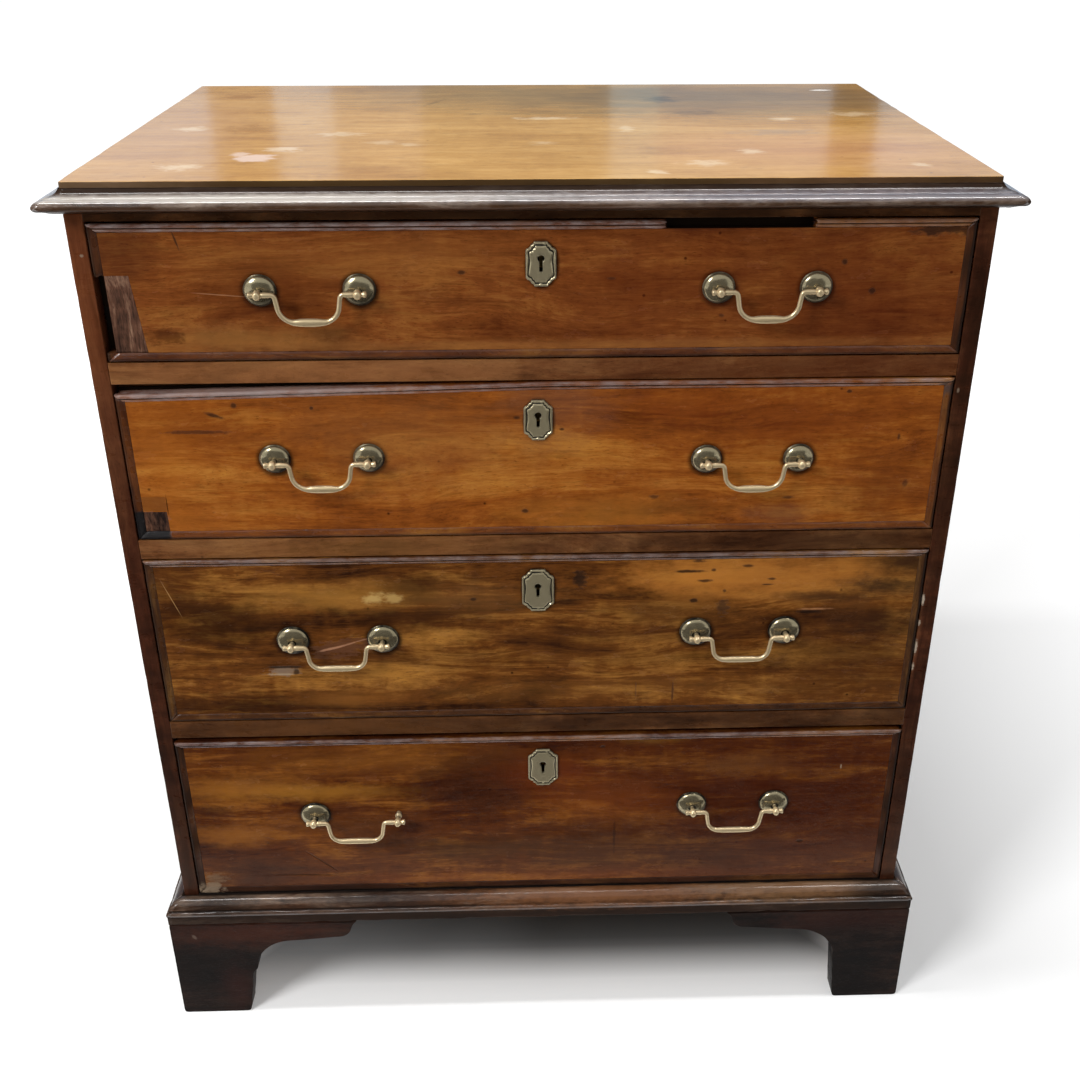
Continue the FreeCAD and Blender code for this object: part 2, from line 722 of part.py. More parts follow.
def key_plate(drawer):
    """A thin brass plate with stepped corners and a raised oval round the keyhole."""
    name = f"drawer_{drawer}"
    wide = PLATE_WIDTH[drawer] / 2
    tall = PLATE_WIDTH[drawer] * 0.755
    thick = 1.4
    across = PLATE_ASIDE[drawer]
    middle = HIGH[drawer] - PLATE_DROP[drawer]
    corner = [(0.47, 1), (0.5, 0.86), (0.86, 0.74), (1, 0.68)]
    quarters = [(+1, +1), (+1, -1), (-1, -1), (-1, +1)]
    steps = []
    for right, up in quarters:
        points = corner if right == up else corner[::-1]
        steps += [(across + wide * (part * right), middle + tall * (rise * up)) for part, rise in points]
    blank = prism(f"{name}_plate_blank", "XZ_Plane", steps, FACE - thick, FACE)
    oval_wide = wide * 0.6
    oval_side = tall * 0.3
    oval_end = oval_wide * 1.1
    oval = [
        (across + oval_wide, middle - oval_side, oval_end, +1),
        (across + oval_wide, middle + oval_side),
        (across - oval_wide, middle + oval_side, oval_end, +1),
        (across - oval_wide, middle - oval_side),
    ]
    pad(blank, "XZ_Plane", oval, FACE - thick - 0.9, FACE - thick)
    tools = keyhole(f"{name}_plate_key", drawer, FACE - 4, FACE + 1)
    finished(cut(f"{name}_key_plate", blank, tools), f"{name}_key_plate")


def handle_fittings(drawer):
    """Domed roses, and the posts through them: an eye in front and a nut behind the drawer front."""
    name = f"drawer_{drawer}"
    rim = ROSE_RADIUS[drawer]
    rose_steps = [(POST_RADIUS + 0.1, 0), (rim, 0), (rim, -0.8), (POST_RADIUS + 0.1, -4.6, 24, -1)]
    post_end = FRONT_THICK + 5.5
    roses = []
    posts = []
    for index, (side, sign, across, up) in enumerate(eyes(drawer)):
        tag = f"{name}_{index + 1}"
        if (drawer, side, sign) != LOST_ROSE:
            roses.append(turned(f"{tag}_rose", "y", rose_steps, (across, FACE, up)))
        shank = along(f"{tag}_shank", "y", POST_RADIUS, (across, EYE_PLACE, up), EYE_OUT + post_end)
        start = (across - EYE_WIDTH / 2, EYE_PLACE, up)
        eye = along(f"{tag}_eye", "x", EYE_RADIUS, start, EYE_WIDTH)
        head = fuse(f"{tag}_head", [shank, eye])
        start = (across - EYE_WIDTH, EYE_PLACE, up)
        hole = along(f"{tag}_eye_hole", "x", WIRE_RADIUS + WIRE_FIT, start, EYE_WIDTH * 2)
        posts.append(cut(f"{tag}_post", head, [hole]))
        start = (across, FACE_BACK, up)
        nut = along(f"{tag}_nut_blank", "y", POST_RADIUS * 2.4, start, 3.2)
        start = (across, FACE_BACK - 1, up)
        thread = along(f"{tag}_nut_thread", "y", POST_RADIUS, start, 6)
        posts.append(cut(f"{tag}_nut", nut, [thread]))
    finished(group(f"{name}_handle_roses", roses), f"{name}_handle_roses")
    finished(group(f"{name}_handle_posts", posts), f"{name}_handle_posts")


def bail(drawer, side):
    """A swan-necked bail: one bent wire, thicker along its grip, with a knob on each end."""
    label = f"drawer_{drawer}_bail_{side}"
    fall = -BAIL_DROP
    far = EYE_SPACING[drawer]
    neck = 3.4
    bend = 14 if drawer <= 2 else 11
    corners = [
        (-STUB_OUT, 0, 0),
        (ARM_IN, 0, neck),
        (FOOT_OF_ARM_IN, fall, bend),
        (far - FOOT_OF_ARM_IN, fall, bend),
        (far - ARM_IN, 0, neck),
        (far + STUB_OUT, 0, 0),
    ]
    body = new_body(f"{label}_wire")
    spine = sketch_on(body, "XZ_Plane")
    draw(spine, rounded(corners), closed=False)
    profile = sketch_on(body, "YZ_Plane", -STUB_OUT)
    ring = profile.addGeometry(Part.Circle(Vector(), Vector(0, 0, 1), WIRE_RADIUS.value), False)
    profile.addConstraint(Sketcher.Constraint("Coincident", ring, 3, -1, 1))
    fix(profile, Sketcher.Constraint("Radius", ring, WIRE_RADIUS.value), WIRE_RADIUS)
    pipe = body.newObject("PartDesign::AdditivePipe", f"{label}_pipe")
    pipe.Profile = profile
    pipe.Spine = (spine, [])
    half, thick = (15, 3.6) if drawer <= 2 else (18, 3.1)
    swell = [(half * 0.6, thick * 0.88), (half * 0.25, thick), (-half * 0.25, thick), (-half * 0.6, thick * 0.88)]
    swell = [(-half, 0), (half, 0), (half, 1.8)] + swell + [(-half, 1.8)]
    grip = turned(f"{label}_grip", "x", swell, (far / 2, 0, fall))
    button = [(-2.2, 0), (2.2, 0), (2.2, 1.7), (1, 2.5), (-1, 2.5), (-2.2, 1.7)]
    knobs = []
    for index, end in enumerate((-STUB_OUT, far + STUB_OUT), 1):
        knobs.append(turned(f"{label}_knob_{index}", "x", button, (end, 0, 0)))
    whole = fuse(label, [body, grip] + knobs)
    across = HANDLE_ASIDE[drawer, side] - EYE_SPACING[drawer] / 2
    place(whole, (across, EYE_PLACE, LOW[drawer] + HANDLE_RISE[drawer, side]))
    finished(whole, label)


def rounded(corners):
    """Steps along straight runs with a round bend of the given radius at each inner corner."""
    steps = [corners[0][:2]]
    for before, corner, after in zip(corners, corners[1:], corners[2:]):
        middle = Vector(as_size(corner[0]).value, as_size(corner[1]).value, 0)
        back = Vector(as_size(before[0]).value, as_size(before[1]).value, 0).sub(middle).normalize()
        on = Vector(as_size(after[0]).value, as_size(after[1]).value, 0).sub(middle).normalize()
        reach = corner[2] / math.tan(back.getAngle(on) / 2)
        turn = 1 if back.cross(on).z < 0 else -1
        steps.append((corner[0] + back.x * reach, corner[1] + back.y * reach))
        steps.append((corner[0] + on.x * reach, corner[1] + on.y * reach, corner[2], turn))
    steps.append(corners[-1][:2])
    return steps


def build_drawer(drawer):
    """One drawer with its lock, key plate and handles."""
    boards = drawer_boards(drawer)
    recess = lock(drawer)
    drawer_front(drawer, boards, recess)
    cockbeads(drawer)
    key_plate(drawer)
    handle_fittings(drawer)
    for side in SIDES:
        bail(drawer, side)


# ---------------------------------------------------------------- checking and writing

def check_all():
    """Stop if any object failed, or if a piece of the chest isn't a sound solid."""
    for thing in doc.Objects:
        if "Invalid" in thing.State or "Error" in thing.State:
            raise RuntimeError(f"{thing.Label} failed: {thing.State}")
    for node in nodes:
        shape = node.Shape
        if shape.isNull() or not shape.isValid() or not shape.Solids:
            raise RuntimeError(f"{node.Label} is not a sound solid")


def write_all():
    """Write each piece of the chest to a file of its own name."""
    os.makedirs("parts", exist_ok=True)
    for node in nodes:
        node.Shape.exportStep(os.path.join("parts", f"{node.Label}.step"))


carcase_boards()
rails_and_runners()
top_edge_moulding()
base_moulding()
feet()
for number in DRAWERS:
    build_drawer(number)
doc.recompute()
check_all()
write_all()
print(f"{len(nodes)} pieces written")
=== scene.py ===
"""An old bachelor's chest of four drawers: its looks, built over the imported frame."""

from math import atan2, cos, pi, radians, sin

import bpy
import numpy as np
from bpy.props import FloatProperty, FloatVectorProperty, PointerProperty
from bpy.types import Operator, Panel, PropertyGroup
from mathutils import Matrix, Vector


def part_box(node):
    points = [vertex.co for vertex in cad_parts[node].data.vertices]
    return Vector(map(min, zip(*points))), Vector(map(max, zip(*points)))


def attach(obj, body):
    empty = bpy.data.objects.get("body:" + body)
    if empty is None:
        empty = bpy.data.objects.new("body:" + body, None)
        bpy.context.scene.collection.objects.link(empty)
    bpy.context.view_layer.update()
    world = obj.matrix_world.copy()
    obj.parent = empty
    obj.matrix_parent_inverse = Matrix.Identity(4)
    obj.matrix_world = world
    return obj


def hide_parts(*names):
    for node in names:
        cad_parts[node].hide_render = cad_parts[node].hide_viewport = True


bl_info = {
    "name": "Bachelor's Chest",
    "version": (1, 0, 0),
    "blender": (4, 5, 0),
    "location": "3D View > Sidebar > Chest",
    "description": "Builds an old chest of four drawers with its mouldings, feet and brasses",
    "category": "Add Mesh",
}

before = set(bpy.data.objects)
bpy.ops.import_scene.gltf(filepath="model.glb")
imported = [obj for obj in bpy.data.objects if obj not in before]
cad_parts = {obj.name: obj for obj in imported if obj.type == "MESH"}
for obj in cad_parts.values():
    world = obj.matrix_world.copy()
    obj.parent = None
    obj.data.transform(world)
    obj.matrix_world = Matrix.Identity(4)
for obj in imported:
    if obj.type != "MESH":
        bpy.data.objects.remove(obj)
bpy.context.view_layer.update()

MM = 0.001
DRAWERS = (1, 2, 3, 4)
SIDES = ("left", "right")


# ---------------------------------------------------------------- sizes and places, in millimetres

def corners(node):
    """The lowest and highest corners of a frame node."""
    low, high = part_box(node)
    return np.array(low) / MM, np.array(high) / MM


TOP = corners("top_board")[1][2]
# The drawer fronts' faces and backs, and how far before the faces the line lies that the bails swing about.
FACE = corners("left_side")[0][1] + 0.5
FACE_BACK = FACE + 20
EYE_OUT = 13
# The drawer, side and sign of the post that has lost its rose.
LOST_ROSE = (4, "left", 1)
# Where the second drawer's top strip begins to fall away to the left, and how far it falls.
SLOPE_FROM = 10
SLOPE = 7.6

# The middle of each pair of handle posts, across and up, and how far apart its two posts are.
HANDLES = {
    (1, "left"): (-181.3, 792.6, 79.0),
    (1, "right"): (185.8, 791.7, 79.0),
    (2, "left"): (-184.0, 643.5, 79.6),
    (2, "right"): (184.2, 638.5, 79.6),
    (3, "left"): (-184.8, 459.2, 82.0),
    (3, "right"): (184.4, 461.8, 82.0),
    (4, "left"): (-182.1, 252.6, 82.0),
    (4, "right"): (190.2, 257.0, 82.0),
}


def tone(hexa):
    """The three parts of a colour written as it looks on a screen."""
    return tuple(int(hexa[index:index + 2], 16) / 255 for index in (1, 3, 5))


def colour(name, what, hexa):
    """A colour setting of the sidebar."""
    return FloatVectorProperty(
        name=name, description=what, subtype="COLOR_GAMMA", size=3, min=0, max=1, default=tone(hexa))


def length(name, what, millimetres):
    """A size setting of the sidebar, kept in metres."""
    return FloatProperty(
        name=name, description=what, subtype="DISTANCE", unit="LENGTH", min=0, default=millimetres * MM)


class ChestSizes(PropertyGroup):
    """Sizes of the worn edges and of the brasses."""

    edge_wear: length("Edge wear", "How round the boards' edges are worn", 0.9)
    chip_depth: length("Chip depth", "Depth of the dents along the mouldings", 0.55)
    bead_wear: length("Bead wear", "Depth of the dents along the strips round the drawers", 0.3)
    rose_rim: length("Rose rim", "Thickness of a handle rose at its rim", 0.8)
    rose_rise: length("Rose rise", "How far a handle rose is domed", 5.4)
    plate_thickness: length("Key plate thickness", "Thickness of a key plate's flat part", 1.4)
    wire_radius: length("Bail wire", "Radius of the bails' wire", 2.0)
    stub: length("Bail stub", "How far a bail's ends stand out past its posts", 7.6)
    bail_drop: length("Bail drop", "How far a bail's grip hangs below its posts", 23)


class ChestColours(PropertyGroup):
    """Colours of the woods and brasses, as they look on a screen."""

    top_dark: colour("Top, dark", "Dark figure of the top", "#96682f")
    top_mid: colour("Top", "Polished top", "#b48747")
    top_light: colour("Top, light", "Light figure of the top", "#cba05f")
    front_1_dark: colour("First drawer, dark", "Dark figure of the first drawer's front", "#4c200c")
    front_1_mid: colour("First drawer", "First drawer's front", "#743e1a")
    front_1_light: colour("First drawer, light", "Light figure of the first drawer's front", "#965f2a")
    front_2_dark: colour("Second drawer, dark", "Dark figure of the second drawer's front", "#5e2c0e")
    front_2_mid: colour("Second drawer", "Second drawer's front", "#8b4b18")
    front_2_light: colour("Second drawer, light", "Light figure of the second drawer's front", "#ad702c")
    front_3_dark: colour("Third drawer, dark", "Dark figure of the third drawer's front", "#2f170a")
    front_3_mid: colour("Third drawer", "Third drawer's front", "#653915")
    front_3_light: colour("Third drawer, light", "Light figure of the third drawer's front", "#a16d2e")
    front_4_dark: colour("Fourth drawer, dark", "Dark figure of the fourth drawer's front", "#300f06")
    front_4_mid: colour("Fourth drawer", "Fourth drawer's front", "#55290d")
    front_4_light: colour("Fourth drawer, light", "Light figure of the fourth drawer's front", "#8a541e")
    moulding_dark: colour("Top moulding, dark", "Hollows of the top's moulding", "#170d07")
    moulding_mid: colour("Top moulding", "Top's moulding", "#3f2918")
    moulding_light: colour("Top moulding, light", "Worn edges of the top's moulding", "#7a6a5e")
    carcase_dark: colour("Sides, dark", "Dark figure of the sides", "#210f08")
    carcase_mid: colour("Sides", "Sides of the chest", "#4a2416")
    carcase_light: colour("Sides, light", "Light figure of the sides", "#6c4027")
    rail_dark: colour("Rails, dark", "Dark figure of the rails", "#341808")
    rail_mid: colour("Rails", "Rails between the drawers", "#6d4325")
    rail_light: colour("Rails, light", "Light figure of the rails", "#885c36")
    base_dark: colour("Base moulding, dark", "Hollows of the base moulding", "#1c110b")
    base_mid: colour("Base moulding", "Base moulding", "#452b1b")
    base_light: colour("Base moulding, light", "Worn edges of the base moulding", "#806a59")
    foot_dark: colour("Feet, dark", "Dark figure of the feet", "#080504")
    foot_mid: colour("Feet", "Bracket feet", "#1b110d")
    foot_light: colour("Feet, light", "Worn parts of the feet", "#35241c")
    inner_dark: colour("Bare wood, dark", "Dark figure of the bare inner boards", "#6b4a2c")
    inner_mid: colour("Bare wood", "Bare inner boards", "#94714a")
    inner_light: colour("Bare wood, light", "Light figure of the bare inner boards", "#b1906a")
    # Pale of rubbed strips, and on the top strips a painted highlight as well.
    bead_wear_and_shine: colour("Beads, worn", "Worn tops of the strips round the drawers", "#938684")
    bare_dark: colour("Broken places, dark", "Dirt in the broken places", "#20140f")
    bare_mid: colour("Broken places", "Bare wood where the skin has broken away", "#5a3c2d")
    bare_light: colour("Broken places, light", "Torn fibres where the skin has broken away", "#93725c")
    dull_brass: colour("Dull brass", "Roses", "#988e72")
    plate_brass: colour("Plate brass", "Key plates", "#a59a7c")
    tarnish: colour("Tarnish", "Blackened brass in the hollows", "#17140d")
    rubbed_brass: colour("Rubbed brass", "Posts and bails", "#cdb891")
    lock_brass: colour("Lock brass", "Locks and bolts", "#a8905a")


def sizes():
    """The sizes of the sidebar, in millimetres."""
    chest = bpy.context.scene.chest_sizes
    return {name: getattr(chest, name) / MM for name in ChestSizes.__annotations__}


def linear(shade):
    """A screen colour as light: a power of 2.4 above the dark end's straight part."""
    shade = np.array(shade, float)
    return np.where(shade <= 0.04045, shade / 12.92, ((shade + 0.055) / 1.055) ** 2.4)


def shades(finish, deepen=1.0):
    """The dark, middle and light colours of one wood, as light with an alpha."""
    chest = bpy.context.scene.chest_colours
    return [(*linear(getattr(chest, f"{finish}_{part}")) * deepen, 1) for part in ("dark", "mid", "light")]


def shade(name):
    """One colour of the sidebar, as light with an alpha."""
    return (*linear(getattr(bpy.context.scene.chest_colours, name)), 1)


# ---------------------------------------------------------------- surfaces worked out as whole arrays

def ripple(points, size, seed):
    """An uneven field in -1 to 1: the sum of waves of about one size, in random directions and phases."""
    waves = 14
    random = np.random.default_rng(seed)
    direction = random.normal(size=(waves, points.shape[-1]))
    direction /= np.linalg.norm(direction, axis=1)[:, None]
    pitch = 2 * pi / (size * random.uniform(0.7, 1.6, waves))
    phase = random.uniform(0, 2 * pi, waves)
    field = np.sin(points @ (direction * pitch[:, None]).T + phase).sum(-1)
    return np.clip(field / np.sqrt(waves) / 1.6, -1, 1)


def dents(places, span, count, width, seed):
    """Dents along a run, 0 to 1: the sum of bell curves at random places along it."""
    random = np.random.default_rng(seed)
    middle = random.uniform(0, span, count)
    reach = random.uniform(0.4, 1.6, count) * width
    depth = random.uniform(0.2, 1, count) ** 2
    bells = depth * np.exp(-((places[..., None] - middle) / reach) ** 2)
    return np.clip(bells.sum(-1), 0, 1)


def grid_faces(rows, columns, loop):
    """The quads between neighbouring points of a grid whose rows close, as places in its list of points."""
    row, column = np.meshgrid(np.arange(rows if loop else rows - 1), np.arange(columns), indexing="ij")
    after = (row + 1) % rows
    beside = (column + 1) % columns
    ring = (row * columns + column, row * columns + beside,
            after * columns + beside, after * columns + column)
    return np.stack(ring, -1).reshape(-1, 4)


def fan(ring):
    """The triangles from a ring's first point to every edge that it isn't on."""
    return np.stack([np.full(len(ring) - 2, ring[0]), ring[1:-1], ring[2:]], -1)


class Skin:
    """The closed surface of one solid: a grid of points, with a flat cap over its first and its last row.

    A cap is one face, or where its outline bends inwards, triangles from the point numbered hub. A loop's
    last row joins its first, without caps.
    """

    def __init__(self, points, grain=None, wear=0.0, dirt_and_shade=0.0, loop=False, hub=None):
        rows, columns = points.shape[:2]
        self.points = points.reshape(-1, 3)
        self.grain = self.points if grain is None else np.broadcast_to(grain, points.shape).reshape(-1, 3)
        self.wear = np.broadcast_to(wear, (rows, columns)).reshape(-1)
        self.dirt_and_shade = np.broadcast_to(dirt_and_shade, (rows, columns)).reshape(-1)
        self.quads = grid_faces(rows, columns, loop)
        self.caps = []
        if not loop:
            first = np.roll(np.arange(columns), -(hub or 0))
            self.caps = [np.roll(first[::-1], 1), first + (rows - 1) * columns]
        if self.volume() < 0:
            self.quads = self.quads[:, ::-1]
            self.caps = [np.roll(cap[::-1], 1) for cap in self.caps]
        if hub is not None:
            self.caps = [triangle for cap in self.caps for triangle in fan(cap)]

    def volume(self):
        """The space inside, as the sum of the wedges from the origin to every face."""
        fans = [fan(cap) for cap in self.caps]
        faces = np.vstack([self.quads[:, [0, 1, 2]], self.quads[:, [0, 2, 3]], *fans])
        first, second, third = (self.points[faces[:, index]] for index in range(3))
        return np.einsum("ij,ij->i", first, np.cross(second, third)).sum() / 6


def link(name, data):
    """Put a new object into the scene."""
    thing = bpy.data.objects.new(name, data)
    bpy.context.scene.collection.objects.link(thing)
    return thing


def make_piece(name, skins, material, body, nodes=()):
    """Put solids into one mesh in metres, with the grain's own coordinates, wear and dirt on its points."""
    points = np.vstack([skin.points for skin in skins]) * MM
    starts = np.cumsum([0] + [len(skin.points) for skin in skins])
    quads = np.vstack([skin.quads + start for skin, start in zip(skins, starts)])
    caps = [cap + start for skin, start in zip(skins, starts) for cap in skin.caps]
    mesh = bpy.data.meshes.new(name)
    mesh.from_pydata(points, [], quads.tolist() + [cap.tolist() for cap in caps])
    smooth = np.arange(len(mesh.polygons)) < len(quads)
    mesh.polygons.foreach_set("use_smooth", smooth)
    grain = mesh.attributes.new("grain", "FLOAT_VECTOR", "POINT")
    grain.data.foreach_set("vector", (np.vstack([skin.grain for skin in skins]) * MM).ravel())
    for kind in ("wear", "dirt_and_shade"):
        layer = mesh.attributes.new(kind, "FLOAT", "POINT")
        layer.data.foreach_set("value", np.concatenate([getattr(skin, kind) for skin in skins]))
    mesh.update()
    mesh.materials.append(material)
    piece = link(name, mesh)
    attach(piece, body)
    if nodes:
        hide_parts(*nodes)


def finish_node(name, material, edge=0.4):
    """Give a frame node its finish, and take the sharpness off its edges where edge isn't 0."""
    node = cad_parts[name]
    node.data.materials.clear()
    node.data.materials.append(material)
    node.modifiers.new("joined faces", "WELD").merge_threshold = 0.00001
    if edge:
        eased = node.modifiers.new("eased edges", "BEVEL")
        eased.width = edge * MM
        eased.segments = 2
        eased.limit_method = "ANGLE"
        eased.angle_limit = radians(40)
        eased.use_clamp_overlap = True


def arc(start, end, radius, turn, step=0.5):
    """Points after start on the short arc to end: its centre lies left of the way for a turn of +1."""
    start, end = np.array(start, float), np.array(end, float)
    chord = end - start
    half = np.hypot(*chord) / 2
    left = np.array([-chord[1], chord[0]]) / (2 * half)
    centre = (start + end) / 2 + left * np.sqrt(max(radius ** 2 - half ** 2, 0)) * turn
    first = atan2(*(start - centre)[::-1])
    sweep = (atan2(*(end - centre)[::-1]) - first + pi) % (2 * pi) - pi
    angles = first + sweep * np.linspace(0, 1, max(3, int(abs(sweep) * radius / step)))[1:]
    return centre + radius * np.stack([np.cos(angles), np.sin(angles)], -1)


def outline(steps):
    """A ring of lines and arcs through steps: (x, y), or (x, y, radius, turn) where an arc leads there."""
    points = []
    for before, step in zip([steps[-1]] + steps[:-1], steps):
        if len(step) == 4:
            points.extend(arc(before[:2], step[:2], step[2], step[3]))
        else:
            points.append(np.array(step[:2], float))
    return np.array(points)


def eased(points, spacing, reach):
    """A closed outline walked at an even spacing and averaged along itself, which rounds its corners.

    It gives the points, their outward directions, and how far each stands on an edge or in a hollow.
    """
    ring = np.vstack([points, points[:1]])
    walked = np.concatenate([[0], np.cumsum(np.hypot(*np.diff(ring, axis=0).T))])
    count = int(walked[-1] / spacing)
    places = np.arange(count) * walked[-1] / count
    even = np.stack([np.interp(places, walked, ring[:, axis]) for axis in (0, 1)], -1)
    side = int(round(reach / spacing))
    span = range(-side, side + 1)
    for _ in range(2):
        even = sum(np.roll(even, shift, axis=0) for shift in span) / len(span)
    along = np.roll(even, -1, axis=0) - np.roll(even, 1, axis=0)
    along /= np.linalg.norm(along, axis=1)[:, None]
    outward = np.stack([along[:, 1], -along[:, 0]], -1)
    ahead, behind = np.roll(along, -2, axis=0), np.roll(along, 2, axis=0)
    bend = behind[:, 0] * ahead[:, 1] - behind[:, 1] * ahead[:, 0]
    return even, outward, np.clip(bend * 1.6, 0, 1), np.clip(-bend * 1.6, 0, 1)


def carried(section, start, end, out, up, seed, mitres=(1, 1), ragged=(0, 0), chips=0.5, rubbed=1.0,
            dark_below=None, painted_shade=0.0, spacing=5.0):
    """An eased section carried along a straight run: start + along * way + x * out + y * up.

    A section point (x, y) begins at -mitre * x and stops at length + mitre * x, so that a mitred end lies
    on its corner's plane. The edges are worn back along the section's outward directions. Below the height
    dark_below, and where it meets the wood behind it, the strip is darkened in its dirt_and_shade layer:
    painted shade in that crease and under the top's moulding. Given painted_shade, it is darkened all over,
    and darker still along its outer edge: painted shade for a strip that sits in the shade of the gaps.
    """
    shape, outward, edge, hollow = section
    start, end, out, up = (np.array(value, float) for value in (start, end, out, up))
    span = np.linalg.norm(end - start)
    way = (end - start) / span
    share = np.linspace(0, 1, max(4, int(span / spacing)))[:, None]
    broken = ripple(shape * 3 + seed, 4.0, seed)
    begin = -mitres[0] * shape[:, 0] + ragged[0] * broken
    stop = span + mitres[1] * shape[:, 0] - ragged[1] * broken
    along = begin + (stop - begin) * share
    spots = np.stack([along, np.broadcast_to(shape[:, 0], along.shape)], -1)
    worn = 0.3 + 0.35 * ripple(spots, 40, seed + 1)
    worn = worn + 0.9 * dents(along, span, int(span / 22), 4.0, seed + 2)
    worn = np.clip(worn, 0, None) * (edge + 0.04) * chips
    shift = worn + 0.06 * chips * (ripple(spots, 9, seed + 3) + 1)
    across = shape - outward * shift[..., None]
    points = start + along[..., None] * way + across[..., :1] * out + across[..., 1:] * up
    # Strips lie far apart in the grain's coordinates, so that each has its own figure.
    grain = np.stack([along + seed * 730, across[..., 1] + seed * 31, across[..., 0] + seed * 17], -1)
    wear = np.clip(edge * (0.55 + 0.45 * ripple(spots, 18, seed + 4)) + worn * 0.8 / max(chips, 0.01), 0, 1)
    dirt_and_shade = hollow
    # Painted shade under the top's moulding and in the crease against the wood behind; on the base it
    # darkens the flat band.
    if dark_below is not None:
        under = np.clip((dark_below - shape[:, 1]) / 0.8, 0, 1) * 0.88
        inner = np.clip((shape[:, 0].min() + 3.0 - shape[:, 0]) / 1.0, 0, 1) * 0.9
        dirt_and_shade = np.maximum(hollow, np.maximum(under, inner))
    # Painted shade: the whole strip darker, and its outer edge darker still.
    if painted_shade:
        outer = 0.4 * np.clip((shape[:, 0] + 3.2) / 1.2, 0, 1)
        dirt_and_shade = np.maximum(dirt_and_shade, np.clip(painted_shade * (0.85 + 0.3 * ripple(spots, 50, seed + 5)) + outer, 0, 1))
    wear = wear * (rubbed if dark_below is None else np.where(shape[:, 1] < dark_below, 0.1, rubbed))
    return Skin(points, grain, wear * np.ones(along.shape), np.broadcast_to(dirt_and_shade, along.shape))


def worn_board(low, high, thin, grain_axis, edge, seed, corner=2.6, spacing=6.0, grimy=0.0):
    """A board with rounded, dented edges: its outline is set in by how far each ring is round the edge.

    The rings run over the rim as (set in, height) = edge * (1 - sin a, 1 - cos a) from each face, and the
    edge itself grows and shrinks along the outline. thin is the axis through the board's thickness, and a
    grimy board holds dirt along its edges.
    """
    low, high = np.array(low, float), np.array(high, float)
    wide, tall = [axis for axis in range(3) if axis != thin]
    centre, half = (low + high) / 2, (high - low) / 2
    reach = half[[wide, tall]] - corner
    signs = np.array([(1, 1), (-1, 1), (-1, -1), (1, -1)])
    anchors, outward = [], []
    for quarter, (sign, after) in enumerate(zip(signs, np.roll(signs, -1, axis=0))):
        turn = (quarter + np.linspace(0, 1, 5)) * pi / 2
        anchors.append(np.tile(sign * reach, (5, 1)))
        outward.append(np.stack([np.cos(turn), np.sin(turn)], -1))
        run = np.linalg.norm((after - sign) * reach)
        share = np.linspace(0, 1, max(3, int(run / spacing)))[1:-1, None]
        anchors.append(sign * reach + (after - sign) * reach * share)
        outward.append(np.tile(outward[-1][-1], (len(share), 1)))
    anchors, outward = np.vstack(anchors), np.vstack(outward)
    rim = anchors + outward * corner
    walked = np.concatenate([[0], np.cumsum(np.linalg.norm(np.diff(rim, axis=0), axis=1))])
    # One half of the rim from its flat face inwards: (set in, drop, whether wood is worn there).
    turns = np.linspace(0, pi / 2, 5)
    half_rim = [(1.0, 0.0, 0.0)] + [(1 - sin(turn), 1 - cos(turn), 1.0) for turn in turns]
    levels = [(-1, *level) for level in half_rim] + [(1, *level) for level in half_rim[::-1]]
    rows, wears, dirts = [], [], []
    for side, inset, drop, worn in levels:
        field = ripple(rim, 60, seed + side) * 0.35
        field = field + dents(walked, walked[-1], int(walked[-1] / 45), 5.0, seed + side)
        round_off = edge * (0.75 + field)
        set_in = inset * round_off + (1.0 if worn == 0 else 0)
        flat = anchors + outward * np.maximum(corner - set_in, 0.05)[:, None]
        ring = np.empty((len(flat), 3))
        ring[:, [wide, tall]] = centre[[wide, tall]] + flat
        ring[:, thin] = centre[thin] + side * (half[thin] - np.minimum(drop * round_off, half[thin] * 0.9))
        rows.append(ring)
        wears.append(worn * np.clip(0.35 + field, 0, 1) * (0.4 if inset < 0.01 else 1))
        dirts.append(np.full(len(flat), grimy if inset < 0.4 else 0.0))
    points = np.array(rows)
    order = [grain_axis] + [axis for axis in range(3) if axis != grain_axis]
    return Skin(points, points[..., order] + seed * 211.0, np.array(wears), np.array(dirts))


def turned(profile, centre, angle, wear, dirt_and_shade, squash=1.0, loop=False, dented=0.0, seed=1):
    """A profile of (radius, depth) turned about the y axis: radius * (cos a, squash * sin a) across it."""
    points = np.empty((len(profile), len(angle), 3))
    points[..., 0] = profile[:, :1] * np.cos(angle)
    points[..., 2] = profile[:, :1] * np.sin(angle) * squash
    points[..., 1] = profile[:, 1:]
    points += np.array(centre)
    if dented:
        points[..., 1] += dented * ripple(points, 7, seed) * (profile[:, :1] > 1)
    return Skin(points, None, wear, dirt_and_shade, loop)


def curve_through(knots, count):
    """A smooth profile through knots: Catmull-Rom blends of each four neighbours."""
    knots = np.array(knots, float)
    padded = np.vstack([2 * knots[0] - knots[1], knots, 2 * knots[-1] - knots[-2]])
    share = np.linspace(0, 1, count, endpoint=False)[None, :, None]
    before, first, second, after = (padded[index:len(padded) - 3 + index][:, None, :] for index in range(4))
    blend = (2 * first + (second - before) * share
             + (2 * before - 5 * first + 4 * second - after) * share ** 2
             + (3 * first - before - 3 * second + after) * share ** 3) / 2
    return np.vstack([blend.reshape(-1, knots.shape[1]), knots[-1:]])


# ---------------------------------------------------------------- finishes

